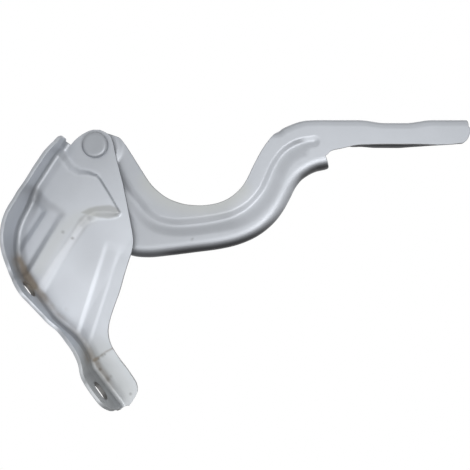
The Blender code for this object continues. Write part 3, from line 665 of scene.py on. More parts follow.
# %% The arm's bead and pad
def arm_relief(points):
    """Set-back of the web from its front plane: + a sunk bead, - the proud pivot pad. The bead is
    depth * ramp(1 - distance / wall), and its two walls blend into one round wall at its end."""
    line = spline(BEAD_LINE, BEAD_STEPS) * MM
    from_bead, _, side = near_path(points, line)
    above = side > 0.0
    narrow = smooth((points[..., 0] - BEAD_NARROWS[0]) / BEAD_NARROWS[1])
    sizes = (BEAD_DEPTHS, BEAD_UPPER_WALLS, BEAD_LOWER_WALLS)
    depth, upper, lower = (low * (1.0 - narrow) + high * narrow for low, high in sizes)
    depth = depth * smooth(np.linalg.norm(points - line[0], axis=-1) / BEAD_START)
    closing = smooth(BEAD_CLOSE_FROM - np.linalg.norm(points - line[-1], axis=-1) / BEAD_CLOSE)
    depth *= 1.0 - (1.0 - BEAD_END_DEPTH) * closing
    wall = np.where(above, upper, lower) * (1.0 - closing) + BEAD_END_WALL * closing
    straight, soft = straight_ramp(1.0 - from_bead / wall), smooth(1.0 - from_bead / wall)
    bead = np.where(above, straight, soft * (1.0 - closing) + straight * closing)
    pad = straight_ramp((PIVOT_PAD_RADIUS - np.linalg.norm(points, axis=-1)) / PIVOT_PAD_RAMP)
    return depth * bead - PIVOT_PAD_HEIGHT * pad


# %% Folds that grow along an edge
def growing_fold(radius, growth):
    """A fold that grows from nearly flat to a right angle: its turn, and the arc radius * turn."""
    turn = FOLD_START + (math.pi / 2 - FOLD_START) * growth
    return turn, radius * turn


def folded_strip(root, out, front, folds, flats, bend_columns, flat_columns):
    """Sections that leave root along out and turn back. Each step moves by its chord at the middle
    heading: along += chord cos(heading), back += chord sin(heading), chord = arc sinc(half turn)."""
    sections = []
    here, back, heading = (np.zeros(len(root)) for _ in range(3))
    for (turn, arc), flat, columns in zip(folds, flats, flat_columns):
        half = turn / (2 * bend_columns)
        chord = arc / bend_columns * np.sinc(half / math.pi)
        for _ in range(bend_columns):
            here = here + chord * np.cos(heading + half)
            back = back + chord * np.sin(heading + half)
            heading = heading + 2 * half
            sections.append((here, back))
        for _ in range(columns):
            here = here + flat / columns * np.cos(heading)
            back = back + flat / columns * np.sin(heading)
            sections.append((here, back))
    return np.stack([place(root + out * h[:, None], front + b) for h, b in sections], axis=1)


# %% The arm's face
def arm_surface():
    """Front face as rows from head to tip: gooseneck flange, web, hood flange and lip. The web is
    lower * (1 - s) + top * s, set back by arm_relief. Its top lies below the upper outline by what
    the hood flange's fold still stands up, arc / turn * sin(turn) + flat * cos(turn)."""
    ribs = spline(ARM_RIBS, STATIONS_PER_RIB) * MM
    lower, upper = ribs[:, :2], ribs[:, 2:]
    start, end = HOOD_RECESS
    x = upper[:, 0]
    dip = smooth((x - start) / HOOD_RECESS_SLOPE) * smooth((end - x) / HOOD_RECESS_SLOPE)
    upper[:, 1] -= HOOD_RECESS_DEPTH * dip
    rib = np.arange(len(ribs)) / STATIONS_PER_RIB

    past = rib - HOOD_FLANGE_FIRST_RIB
    turn, arc = growing_fold(BAR_BEND, smooth(past / HOOD_TURN_GROWTH))
    growth = smooth((past - HOOD_FLAT_DELAY) / HOOD_FLAT_GROWTH)
    flat = FLANGE_START + (HOOD_FLANGE_FLAT - FLANGE_START) * growth
    lip_growth = smooth((rib - LIP_FIRST_RIB + LIP_AHEAD) / LIP_GROWTH)
    drop = upper[:, 1] - np.interp(upper[:, 0], *LIP_EDGE.T) - BAR_BEND
    lip_flat = FLANGE_START + np.maximum(drop, 0.0) * lip_growth**2
    upper_out = -side_normals(upper)
    height = arc / turn * np.sin(turn) + flat * np.cos(turn)
    web_top = np.where((past >= 0.0)[:, None], upper - upper_out * height[:, None], upper)

    first, end = GOOSENECK_FLANGE_RIBS
    low_growth = smooth((rib - first) / GOOSENECK_GROWTH)
    set_in = GOOSENECK_SET_IN * (low_growth * smooth((end + 1.0 - rib) / GOOSENECK_GROWTH))
    lower = lower - side_normals(lower) * set_in[:, None]
    low_flat = FLANGE_START + (GOOSENECK_FLANGE - FLANGE_START) * low_growth
    share = np.linspace(0.0, 1.0, WEB_COLUMNS + 1)[None, :, None]
    web = lower[:, None] * (1.0 - share) + web_top[:, None] * share
    near_tip = smooth(rib - rib[-1] + 1.0)[:, None]
    web[..., 0] += TIP_BULGE * near_tip * (1.0 - np.abs(2.0 * share[..., 0] - 1.0) ** 3)
    front = ARM_WEB_FRONT + arm_relief(web)

    low_folds, high_folds = (
        (growing_fold(GOOSENECK_BEND, low_growth),),
        ((turn, arc), growing_fold(BAR_BEND, lip_growth)),
    )
    low = folded_strip(lower, side_normals(lower), front[:, 0], low_folds, (low_flat,), LOW_BEND, (LOW_FLAT,))
    high = folded_strip(
        web_top, upper_out, front[:, -1], high_folds, (flat, lip_flat), HIGH_BEND, (HOOD_FLAT, LIP_FLAT)
    )
    rows = np.concatenate([low[:, ::-1], place(web, front), high], axis=1)
    exists = np.ones(rows.shape[:2], bool)
    above = low.shape[1] + WEB_COLUMNS + 1
    exists[(rib < first) | (rib > end), : low.shape[1]] = False
    exists[past < 0.0, above:] = False
    exists[rib < LIP_FIRST_RIB, above + HIGH_BEND + HOOD_FLAT :] = False
    return rows, exists


rows, exists = arm_surface()
print("points on the arm's face:", exists.sum())

# %% The arm's sheet with its holes
HOOD_HOLES = ((270.0, 9.5), (194.0, 12.0))
HOOD_HOLE_WIDTH = 9.0
HOOD_HOLE_LEVEL = 19.5
BUSH_HOLE = 13.0
HOOD_REACH, HEAD_REACH = 6.0 * MM, 15.0 * MM
flange_middle = ARM_WEB_FRONT + BAR_BEND + HOOD_FLANGE_FLAT / 2
arm_cutters = []
for x, length in HOOD_HOLES:
    centre = np.array([x * MM, flange_middle, HOOD_HOLE_LEVEL * MM])
    arm_cutters.append(slot_cutter(centre, RIGHT, UP, length * MM, HOOD_HOLE_WIDTH * MM, HOOD_REACH))
hole = slot_cutter(np.zeros(3), RIGHT, AWAY, (BUSH_HOLE + HARDLY_LONGER) * MM, BUSH_HOLE * MM, HEAD_REACH)
arm_cutters.append(hole)
arm = pressed_sheet("arm_pressing", rows, exists, ARM_SHEET, arm_cutters, softening=2)

# %% [markdown]
# ## The rivet
# The rivet was turned and then peened, so it is a profile carried round the pivot. Its front
# head is a flat button with a chamfer and a faint ring in the middle, where the tool held it.


# %% A turned piece
def turned(name, profile, steps=96):
    """Surface of revolution round the pivot: (r cos a, -ahead, r sin a) for each profile point."""
    radius, ahead_of = (np.array(profile) * MM).T
    angle = np.linspace(0.0, math.tau, steps, endpoint=False)[:, None]
    y = np.broadcast_to(-ahead_of, (steps, len(radius)))
    points = np.stack([radius * np.cos(angle), y, radius * np.sin(angle)], axis=-1)
    index = np.arange(steps * len(radius)).reshape(steps, -1)
    after = np.roll(index, -1, axis=0)
    quads = np.stack([index[:, :-1], index[:, 1:], after[:, 1:], after[:, :-1]], axis=-1).reshape(-1, 4)
    mesh = bpy.data.meshes.new(name)
    caps = [index[:, 0].tolist(), index[::-1, -1].tolist()]
    mesh.from_pydata(points.reshape(-1, 3) + PIVOT, [], quads.tolist() + caps)
    mesh.shade_smooth()
    mesh.set_sharp_from_angle(angle=SHARP_ANGLE)
    return link(name, mesh)


RIVET = (
    (0.3, 4.2), (1.2, 4.21), (2.0, 4.27), (2.6, 4.22), (3.2, 4.24), (4.6, 4.28), (6.6, 4.3), (7.2, 4.28),
    (7.7, 4.2), (8.3, 4.02), (8.8, 3.76), (9.2, 3.35), (9.5, 2.8), (9.75, 2.0), (9.75, 1.0), (9.6, 0.55),
    (9.3, 0.3), (5.0, 0.3), (5.0, -11.5), (8.3, -11.5), (8.65, -11.8), (8.8, -12.4), (8.65, -13.3),
    (8.1, -14.3), (7.0, -14.8), (5.2, -15.0), (0.3, -15.0),
)
rivet = turned("pivot_rivet_turned", RIVET)
print("rivet head across, mm:", round(2 * max(r for r, _ in RIVET), 2))

# %% [markdown]
# ## Paint and dirt
# The finish is a satin silver sprayed from the front over dark primer, with a fine orange peel
# and metal flake. What varies over it depends on the shape: brown road dirt in the bracket's
# fold, a dull haze, dark marks, painted light where the silver is made brighter, and painted
# shade where it is made darker. Noise alone would put them anywhere, and an image would have to
# be painted. So five masks are worked out from the vertices and carried as attributes, and the
# paint mixes its colours by them. A piece that lacks a mask reads it as 0.

# %% Reading a piece and storing a mask
def vertex_vectors(layer, title):
    """The vectors of a vertex layer as rows of three numbers."""
    flat = np.empty(len(layer) * 3, np.float32)
    layer.foreach_get(title, flat)
    return flat.reshape(-1, 3).astype(float)


def measured(piece):
    """A piece's vertices in millimetres from the pivot, its normals, and how far each vertex lies
    on the sheared rim, from 0 on a face to 1."""
    mesh = piece.data
    points = (vertex_vectors(mesh.vertices, "co") - PIVOT) / MM
    sheared = np.zeros(len(points), np.float32)
    mesh.attributes["sheared"].data.foreach_get("value", sheared)
    return points, vertex_vectors(mesh.vertex_normals, "vector"), sheared.astype(float)


def store_mask(piece, name, values):
    """Keeps a mask, held between 0 and 1, on the vertices."""
    values = np.clip(values, 0.0, 1.0)
    layer = piece.data.attributes.new(name, "FLOAT", "POINT")
    layer.data.foreach_set("value", values.astype(np.float32))
    print(f"{piece.name}, {name}: {(values > 0.05).mean():.0%} of the vertices")


# %% Shapes of marks, in millimetres on the x and z of each vertex
def near_line(xz, line, reach):
    """1 on a line of (x, z) points, falling smoothly to 0 at reach."""
    return smooth(1.0 - near_path(xz, np.array(line))[0] / reach)


def line_share(xz, line):
    """Distance to a line of (x, z, share) points, and its share at the nearest place."""
    line = np.array(line)
    return near_path(xz, line[:, :2], line[:, 2])[:2]


def spots(xz, places):
    """Round marks: share * ramp(1 - distance / (1.6 radius)), where the strongest wins."""
    found = np.zeros(len(xz))
    for x, z, radius, share in places:
        gap = np.hypot(xz[:, 0] - x, xz[:, 1] - z)
        found = np.maximum(found, share * smooth(1.0 - gap / (1.6 * radius)))
    return found


def patch(xz, outline, border):
    """1 inside a closed outline and 0 outside, over a soft border."""
    closed = np.array([*outline, outline[0]])
    gap = near_path(xz, closed)[0]
    return smooth(0.5 + np.where(inside(xz, closed[:-1]), gap, -gap) / border)


def facing_camera(facing):
    """1 on faces within 26 degrees of square to the camera, and 0 beyond 53 degrees."""
    return smooth((-facing[:, 1] - 0.6) / 0.3)


def facing_away(facing):
    """0.6 on faces that look away from the camera, where shade is painted."""
    return 0.6 * smooth((facing[:, 1] - 0.1) / 0.6)


# %% [markdown]
# ### The bracket's dirt and haze
# Water runs down the inside of the fold and leaves brown dirt there, thickest below the panel,
# and again in the foot's crease. Around it and on the foot the silver is only dulled. Both are
# lines with a share at each point: the nearest place on the line gives a vertex its strength.

# %% Road dirt in the bracket's fold
DIRTY_FOLD = (
    (-59.5, -72.0, 0.0), (-58.0, -80.0, 0.45), (-52.5, -93.0, 0.95), (-44.5, -105.0, 1.0),
    (-35.0, -117.5, 0.8), (-20.6, -133.5, 0.5), (-8.0, -147.0, 0.6), (-2.0, -159.0, 1.0),
    (8.0, -174.0, 0.8), (18.0, -190.0, 0.2),
)
DIRTIEST = ((-55.5, -86.0), (-50.0, -96.5), (-44.5, -104.5))
FOOT_CREASE = ((12.8, -152.4), (8.0, -154.8), (3.6, -158.2), (-1.0, -161.4))
FOLD_REACH, DIRTIEST_REACH, CREASE_REACH = 5.6, 6.0, 1.8
DIRT_STANDS = 18.0
points, facing, sheared = measured(bracket)
xz, y, z = points[:, [0, 2]], points[:, 1], points[:, 2]
in_front = facing[:, 1] < 0.3
from_fold, share = line_share(xz, DIRTY_FOLD)
low_on_flange = smooth(1.4 + y / DIRT_STANDS)
grime = 0.7 * share * smooth(1.0 - from_fold / FOLD_REACH) * low_on_flange
grime += 0.3 * near_line(xz, DIRTIEST, DIRTIEST_REACH) * low_on_flange
grime += 0.55 * near_line(xz, FOOT_CREASE, CREASE_REACH)
store_mask(bracket, "grime", grime * in_front)

# %% Haze on the panel's edge and the foot
DULL_EDGE = ((-3.0, -52.5), (-13.0, -55.0), (-24.0, -64.0), (-34.0, -80.0), (-41.0, -93.0))
FOOT_MIDDLE = ((2.0, -160.0), (22.0, -186.0))
PANEL_CORNER = (
    (-9.5, -50.5), (-4.0, -47.4), (2.0, -45.8), (11.6, -45.0), (17.0, -47.2),
    (18.7, -50.4), (16.0, -53.6), (10.1, -55.0), (2.6, -53.9), (-4.8, -52.4),
)
corner = patch(xz, PANEL_CORNER, 2.2)
haze = 0.55 * near_line(xz, DULL_EDGE, 10.0) + 0.6 * corner + 0.7 * near_line(xz, FOOT_MIDDLE, 26.0)
store_mask(bracket, "haze", haze * in_front)

# %% [markdown]
# ### The bracket's dark marks and painted shade
# Small specks and chips sit on the panel and the foot. Soft lines of painted shade follow the
# panel's edge and the steps' corner, and the down-facing slope under the panel's corner is
# painted darker. The walls of the bolt slots get near-black painted shade: they are the
# vertices that lie on the slot's outline, half a width from its middle line.

# %% Specks, painted shade lines and slot walls
SPECKS = (
    (-23.2, -65.1, 1.3, 0.45), (-16.3, -69.7, 1.7, 0.8), (3.4, -168.3, 1.4, 0.8), (26.0, -187.0, 1.2, 0.5),
    (9.2, -175.6, 2.0, 0.6), (11.4, -173.6, 1.3, 0.4), (5.2, -157.6, 1.6, 0.4), (2.4, -160.2, 1.0, 0.6),
    (7.0, -156.8, 1.0, 0.5), (-21.7, -122.6, 2.2, 0.2),
)
# Painted shade along the panel's edge: x, z and share.
RIDGE_SHADE = (
    (1.0, -53.5, 0.0), (-4.0, -54.0, 0.36), (-8.0, -57.6, 0.45), (-13.8, -66.6, 0.33), (-24.0, -82.0, 0.2),
    (-38.2, -103.7, 0.14),
)
# Painted shade on the steps' corner.
STEP_SHADE = ((-44.5, -33.6), (-41.5, -38.8), (-35.6, -44.8), (-29.6, -47.0), (-24.3, -50.8))
SLOT_SHADE = (0.98, 0.85)
SLOT_WALL_REACH, HALF_SHEET = 0.35, 4.0
# The corner patch is painted shade on the slope below the panel's corner.
marks_and_shade = np.maximum(spots(xz, SPECKS), 0.34 * corner)
from_ridge, share = line_share(xz, RIDGE_SHADE)
marks_and_shade = np.maximum(marks_and_shade, share * smooth(1.5 - from_ridge / (2.2 + 3.0 * share)))
marks_and_shade = np.maximum(marks_and_shade, 0.2 * near_line(xz, STEP_SHADE, 5.5)) * in_front
# Near-black painted shade on the walls of the bolt slots.
for (station, depth, length), darkness in zip(BOLT_SLOTS, SLOT_SHADE):
    offset = points - place(pad_point(station * MM), -depth * MM) / MM
    past_middle = np.maximum(np.abs(offset @ pad_along) - (length - BOLT_SLOT_WIDTH) / 2, 0.0)
    from_wall = np.abs(np.hypot(past_middle, offset[:, 1]) - BOLT_SLOT_WIDTH / 2)
    in_sheet = np.abs(offset @ pad_out) < HALF_SHEET
    marks_and_shade = np.maximum(marks_and_shade, darkness * smooth(1.4 - from_wall / SLOT_WALL_REACH) * in_sheet)
store_mask(bracket, "marks_and_shade", marks_and_shade)

# %% [markdown]
# ### Painted light on the bracket
# The wall is painted brighter towards the lower right, apart from two dimmer places. The step by
# the pivot, the flange's free edge and its open lower part get painted light too, and a small
# painted highlight sits by the fold. The brightness is worked out as parts of one mask, and the
# strongest part wins.

# %% Painted light on the wall and the flange
LIGHTER_TOWARDS = np.array([0.55, -0.83])
DIMMER_PLACES = ((0.0, -82.0, 18.0, 0.7), (-24.0, -106.0, 14.0, 0.25))
# A painted highlight where a small bump by the fold catches the light.
PAINTED_GLINT = ((-22.0, -122.5, 4.5, 0.55),)
FLANGE_RIBS = BRACKET_RIBS[FLANGE_FIRST_RIB:]
PAINTED_LIGHT_SHARE = 1.0 / 3.0
FLANGE_FROM, FLANGE_RUN = 8.0, 3.0
# Painted light that grows towards the lower right of the wall, held back in two places.
wall = smooth(xz @ LIGHTER_TOWARDS / 55.0) * (1.0 - spots(xz, DIMMER_PLACES)) * facing_camera(facing)
pivot_step = near_line(xz, [point[:2] for point in PANEL_EDGE[1:7]], 6.0)
_, flange_depth = line_share(xz, [rib[:3] for rib in FLANGE_RIBS])
on_flange = smooth((-y - FLANGE_FROM) / FLANGE_RUN) * (facing[:, 0] > 0.2)
near_edge = smooth(1.0 - (y + flange_depth) / 6.0) * smooth((z + 140.0) / 35.0)
flange = on_flange * np.maximum(near_edge, smooth((z + 100.0) / 40.0))
painted_light = np.maximum(np.maximum(wall, pivot_step) * in_front, flange) * PAINTED_LIGHT_SHARE
# Painted light on the flange's open lower part.
open_part = smooth((-z - 98.0) / 18.0) * smooth((z + 163.0) / 14.0)
painted_light = np.maximum(painted_light, 0.85 * on_flange * open_part)
store_mask(bracket, "painted_light", np.maximum(painted_light, spots(xz, PAINTED_GLINT) * in_front))

# %% [markdown]
# ### Painted shade on the bracket
# Into the fold, on the faces that look away, low on the flange and on the sheared rim, shade is
# painted by mixing the silver towards near black, less so on the flange's rim. How dark the fold
# is painted changes along it, so each rib of the flange has its own share.

# %% Painted shade on the bracket
FOLD_PAINTED_SHADE = (
    0.05, 0.1, 0.2, 0.15, 0.12, 0.12, 0.15, 0.25, 0.35, 0.35, 0.2, 0.15, 0.15, 0.2, 0.3, 0.3,
    0.3, 0.2, 0.1, 0.0, 0.1, 0.1, 0.1, 0.15, 0.2, 0.15, 0.12, 0.12, 0.12, 0.12, 0.1, 0.1,
)
# Shares of painted shade on the sheared rim, on the flange and on the wall.
FLANGE_RIM, WALL_RIM = 0.1, 0.65
from_fold, share = line_share(xz, [(*rib[:2], dark) for rib, dark in zip(FLANGE_RIBS, FOLD_PAINTED_SHADE)])
in_fold = share * smooth(1.6 - from_fold / 3.5) * smooth((y + 10.5) / 3.0)
foot_flange = 0.2 * on_flange * smooth((-z - 152.0) / 10.0) * (1.0 - near_edge)
rim = (FLANGE_RIM + (WALL_RIM - FLANGE_RIM) * smooth((y + FLANGE_FROM) / FLANGE_RUN)) * sheared
shaded = np.maximum(np.maximum(in_fold, facing_away(facing)), np.maximum(foot_flange, rim))
store_mask(bracket, "painted_shade", shaded)

# %% [markdown]
# ### The arm's masks
# The arm carries no dirt. Its top edge by the gooseneck is dull, and the web is darker along
# the gooseneck's valley. Painted light brightens the web towards the bar and inside the
# gooseneck's turn, and painted shade darkens the sheared rim and whatever faces down, faces away
# or lies deep behind the web's edge.

# %% The arm's haze, marks, painted light and painted shade
ARM_TOP = [rib[2:] for rib in ARM_RIBS[6:16]]
VALLEY = ((48.0, -60.0), (75.0, -60.0), (98.0, -54.0))
ARM_CHIP = ((72.0, -70.3, 1.2, 0.5),)
INNER_TURN = ((112.0, -50.0), (124.0, -40.0), (134.0, -24.0))
points, facing, sheared = measured(arm)
xz = points[:, [0, 2]]
store_mask(arm, "haze", 0.9 * near_line(xz, ARM_TOP, 13.0))
store_mask(arm, "marks_and_shade", np.maximum(spots(xz, ARM_CHIP), 0.1 * near_line(xz, VALLEY, 26.0)))
# Painted light on the web, towards the bar and inside the gooseneck's turn.
painted_light = np.maximum(0.7 * smooth((points[:, 0] - 60.0) / 120.0), 0.8 * near_line(xz, INNER_TURN, 22.0))
store_mask(arm, "painted_light", painted_light * PAINTED_LIGHT_SHARE * facing_camera(facing))
# Painted shade under the bends, deep behind the web's edge, on faces looking away and on the rim.
under = smooth((-facing[:, 2] - 0.22) / 0.55) * (1.0 - 0.2 * smooth((62.0 - points[:, 0]) / 20.0))
deep = smooth((points[:, 1] - 13.5) / 5.0) * smooth((-facing[:, 1] - 0.2) / 0.5)
shaded = np.maximum(np.maximum(under, deep), np.maximum(facing_away(facing), WALL_RIM * sheared))
store_mask(arm, "painted_shade", shaded)

# %% [markdown]
# ### Building node groups
# Nodes could be placed one by one, with their sockets set by hand each time. A few helpers keep
# each node to a line, so that a group reads as the formula that it is.

# %% Helpers for node groups
def new_group(name, inputs, outputs):
    """An empty node group with named sockets, and the nodes for its two ends."""
    group = bpy.data.node_groups.new(name, "ShaderNodeTree")
    for title, kind, value in inputs:
        socket = group.interface.new_socket(title, in_out="INPUT", socket_type=kind)
        if value is not None:
            socket.default_value = value
    for title, kind in outputs:
        group.interface.new_socket(title, in_out="OUTPUT", socket_type=kind)
    tree = group.nodes
    return group, tree.new("NodeGroupInput"), tree.new("NodeGroupOutput")


def math_node(tree, operation, *operands):
    """One Math node. Each operand is a number or a socket, and MULTIPLY_ADD adds its third."""
    made = tree.nodes.new("ShaderNodeMath")
    made.operation = operation
    for slot, value in zip(made.inputs, operands):
        if isinstance(value, (int, float)):
            slot.default_value = value
        else:
            tree.links.new(value, slot)
    return made.outputs[0]


def mixed(tree, factor, below, above):
    """One colour Mix node: below where factor is 0, above where it is 1."""
    made = tree.nodes.new("ShaderNodeMix")
    made.data_type = "RGBA"
    for slot, value in zip((made.inputs[0], made.inputs[6], made.inputs[7]), (factor, below, above)):
        if isinstance(value, (int, float)):
            slot.default_value = value
        elif isinstance(value, tuple):
            slot.default_value = (*value, 1.0)
        else:
            tree.links.new(value, slot)
    return made.outputs[2]


def noise(tree, vector, scale, detail=3.0, roughness=0.5):
    """One Noise node; scale is in cells per metre."""
    made = tree.nodes.new("ShaderNodeTexNoise")
    made.inputs["Scale"].default_value = scale
    made.inputs["Detail"].default_value = detail
    made.inputs["Roughness"].default_value = roughness
    tree.links.new(vector, made.inputs["Vector"])
    return made.outputs["Fac"]


def ramp(tree, value, low, high):
    """0 below low and 1 above high, with a smooth run between."""
    made = tree.nodes.new("ShaderNodeMapRange")
    made.interpolation_type = "SMOOTHSTEP"
    made.inputs["From Min"].default_value = low
    made.inputs["From Max"].default_value = high
    tree.links.new(value, made.inputs["Value"])
    return made.outputs["Result"]


# %% [markdown]
# ### The effects as node groups
# The sprayed film is orange peel about 2.4 mm across, flake about 0.4 mm across, and a wide
# mottle. Road dirt takes the mask of where it may lie, breaks it up with two noises, and turns
# darker where the wide one is high. Each is built once, and every painted piece uses it.

# %% Group: sprayed film
PEEL_SCALE, FLAKE_SCALE, MOTTLE_SCALE = 420.0, 2600.0, 38.0
film, film_in, film_out = new_group(
    "sprayed_film",
    (("Vector", "NodeSocketVector", None), ("Peel", "NodeSocketFloat", 0.5)),
    (("Height", "NodeSocketFloat"), ("Mottle", "NodeSocketFloat"), ("Flake", "NodeSocketFloat")),
)
peel = noise(film, film_in.outputs["Vector"], PEEL_SCALE, 2.0)
flake = noise(film, film_in.outputs["Vector"], FLAKE_SCALE, 1.0)
film.links.new(math_node(film, "MULTIPLY", peel, film_in.outputs["Peel"]), film_out.inputs["Height"])
mottle = noise(film, film_in.outputs["Vector"], MOTTLE_SCALE, 4.0, 0.6)
film.links.new(mottle, film_out.inputs["Mottle"])
film.links.new(flake, film_out.inputs["Flake"])

# %% Group: road dirt
CLOUD_SCALE, PATCH_SCALE = 160.0, 45.0
DRY_DIRT, WET_DIRT = (0.33, 0.285, 0.23), (0.18, 0.137, 0.095)
dirt, dirt_in, dirt_out = new_group(
    "road_dirt",
    (
        ("Vector", "NodeSocketVector", None),
        ("Where", "NodeSocketFloat", 0.0),
        ("Amount", "NodeSocketFloat", 1.0),
    ),
    (("Cover", "NodeSocketFloat"), ("Colour", "NodeSocketColor")),
)
clouds = noise(dirt, dirt_in.outputs["Vector"], CLOUD_SCALE, 5.0, 0.65)
patches = noise(dirt, dirt_in.outputs["Vector"], PATCH_SCALE, 3.0)
broken = math_node(dirt, "MULTIPLY", dirt_in.outputs["Where"], math_node(dirt, "ADD", clouds, patches))
cover = math_node(dirt, "MULTIPLY", ramp(dirt, broken, 0.12, 0.95), dirt_in.outputs["Amount"])
dirt.links.new(cover, dirt_out.inputs["Cover"])
dirt.links.new(mixed(dirt, patches, DRY_DIRT, WET_DIRT), dirt_out.inputs["Colour"])
print("node groups:", [g.name for g in bpy.data.node_groups])


# %% [markdown]
# ### The silver paint
# Real silver paint is grey with metal flake, so its shader is part metal and part plain paint.
# The colours lie over each other: mottled silver, painted light, haze, real marks with painted
# shade, near-black painted shade, and dirt on top, which is also rougher and not metal.

# %% The colour of the paint
# The near black below paints shade.
PAINTED_SHADE_COLOUR = (0.03, 0.03, 0.032)
# This colour serves real marks and painted shade alike.
MARK_AND_SHADE_COLOUR = (0.13, 0.125, 0.12)
HAZE_COLOUR = (0.46, 0.47, 0.43)
# The silver is mottled darker at random, and painted brighter where light is painted.
MOTTLE_SHADE, PAINTED_LIGHT_GAIN = 0.95, 1.6
HAZE_SHARE, PAINTED_SHADE_SHARE = 0.5, 0.95


def layered_colour(tree, colour, mottle, soil):
    """Mixes the layers from the silver up, each by its mask."""
    masks = {}
    for title in ("painted_shade", "haze", "marks_and_shade", "painted_light"):
        layer = tree.nodes.new("ShaderNodeAttribute")
        layer.attribute_name = title
        masks[title] = layer.outputs["Fac"]
    darker, brighter = (tuple(share * c for c in colour) for share in (MOTTLE_SHADE, PAINTED_LIGHT_GAIN))
    base = mixed(tree, ramp(tree, mottle, 0.3, 0.7), darker, colour)
    # Painted light: the silver made brighter by its mask.
    base = mixed(tree, masks["painted_light"], base, brighter)
    base = mixed(tree, math_node(tree, "MULTIPLY", masks["haze"], HAZE_SHARE), base, HAZE_COLOUR)
    # Real marks and painted shade.
    base = mixed(tree, masks["marks_and_shade"], base, MARK_AND_SHADE_COLOUR)
    # Painted shade: the colour mixed towards near black.
    base = mixed(tree, math_node(tree, "MULTIPLY", masks["painted_shade"], PAINTED_SHADE_SHARE), base, PAINTED_SHADE_COLOUR)
    return mixed(tree, soil.outputs["Cover"], base, soil.outputs["Colour"])


# %% The silver paint and its older, duller state
PAINT_METALLIC = 0.4
PAINT_DIRT = 0.9
FLAKE_GRAIN = 0.05
DIRT_ROUGHNESS = 0.35
PEEL_STRENGTH = 0.25
PEEL_HEIGHT = 0.05 * MM


def silver_paint(name, colour, roughness):
    """Satin silver, mixed towards near black where shade is painted. The flake moves the roughness by 0.05
    both ways.
    """
    material = bpy.data.materials.new(name)
    material.use_nodes = True
    tree = material.node_tree
    shader = tree.nodes["Principled BSDF"]
    coordinates = tree.nodes.new("ShaderNodeTexCoord").outputs["Object"]
    spray = tree.nodes.new("ShaderNodeGroup")
    spray.node_tree = film
    tree.links.new(coordinates, spray.inputs["Vector"])
    where = tree.nodes.new("ShaderNodeAttribute")
    where.attribute_name = "grime"
    soil = tree.nodes.new("ShaderNodeGroup")
    soil.node_tree = dirt
    soil.inputs["Amount"].default_value = PAINT_DIRT
    tree.links.new(coordinates, soil.inputs["Vector"])
    tree.links.new(where.outputs["Fac"], soil.inputs["Where"])
    base = layered_colour(tree, colour, spray.outputs["Mottle"], soil)
    tree.links.new(base, shader.inputs["Base Color"])
    bare = math_node(tree, "SUBTRACT", 1.0, soil.outputs["Cover"])
    tree.links.new(math_node(tree, "MULTIPLY", bare, PAINT_METALLIC), shader.inputs["Metallic"])
    grain = math_node(tree, "MULTIPLY_ADD", spray.outputs["Flake"], 2 * FLAKE_GRAIN, roughness - FLAKE_GRAIN)
    rough = math_node(tree, "MULTIPLY_ADD", soil.outputs["Cover"], DIRT_ROUGHNESS, grain)
    tree.links.new(rough, shader.inputs["Roughness"])
    bump = tree.nodes.new("ShaderNodeBump")
    bump.inputs["Strength"].default_value = PEEL_STRENGTH
    bump.inputs["Distance"].default_value = PEEL_HEIGHT
    tree.links.new(spray.outputs["Height"], bump.inputs["Height"])
    tree.links.new(bump.outputs["Normal"], shader.inputs["Normal"])
    return material


paint = silver_paint("silver_paint", (0.455, 0.477, 0.512), 0.45)
worn_paint = silver_paint("worn_silver_paint", (0.375, 0.395, 0.425), 0.42)
for piece, finish in ((bracket, paint), (arm, paint), (rivet, worn_paint)):
    piece.data.materials.clear()
    piece.data.materials.append(finish)
print("paints:", [material.name for material in (paint, worn_paint)])

# %% [markdown]
# ## The liner and the washers
# Between the sheets sit a flanged bush, a thrust washer and a backing washer. Their solids are
# already the right shape, so they stay, and only get a finish: black filled nylon and paint.

# %% Finishes of the pieces inside the joint
LINER_DARK, LINER_LIGHT = (0.02, 0.02, 0.022), (0.05, 0.05, 0.055)
LINER_MOTTLE_SCALE = 300.0


def moulded_liner():
    """Matte black nylon, a little uneven in colour and roughness."""
    material = bpy.data.materials.new("bearing_liner")
    material.use_nodes = True
    tree = material.node_tree
    shader = tree.nodes["Principled BSDF"]
    coordinates = tree.nodes.new("ShaderNodeTexCoord").outputs["Object"]
    mottle = noise(tree, coordinates, LINER_MOTTLE_SCALE, 3.0)
    base = mixed(tree, mottle, LINER_DARK, LINER_LIGHT)
    tree.links.new(base, shader.inputs["Base Color"])
    rough = math_node(tree, "MULTIPLY_ADD", mottle, 0.2, 0.5)
    tree.links.new(rough, shader.inputs["Roughness"])
    return material


liner = moulded_liner()
for title, finish in (("flanged_bush", liner), ("thrust_washer", liner), ("backing_washer", paint)):
    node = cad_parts[title]
    node.data.materials.clear()
    node.data.materials.append(finish)
print("liner on the bush and the thrust washer, paint on the backing washer")

# %% [markdown]
# ## What moves with what
# The bracket and the rivet stay with the car's body, and the arm swings with the hood. Each
# new piece rides on that body and takes the place of its plain solid.

# %% Each new piece rides on its body and stands for its solid
for piece, body, node in (
    (bracket, "body_side", "bracket"),
    (arm, "hood_side", "hood_arm"),
    (rivet, "body_side", "pivot_rivet"),
):
    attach(piece, body)
    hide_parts(node)
    print(f"{piece.name} rides on {body} for {node}")

# %% [markdown]
# ## Camera, floor and light
# The photograph was taken square to the bracket's wall from about 45 cm, with the pivot up and
# left of the axis, so the flange shows its inner face in perspective. The background is white.
# The light is soft: a wide lamp low in front, a small key lamp low on the right, and weak ones
# beside the camera and above. One behind lights only the back, which the photograph hides.

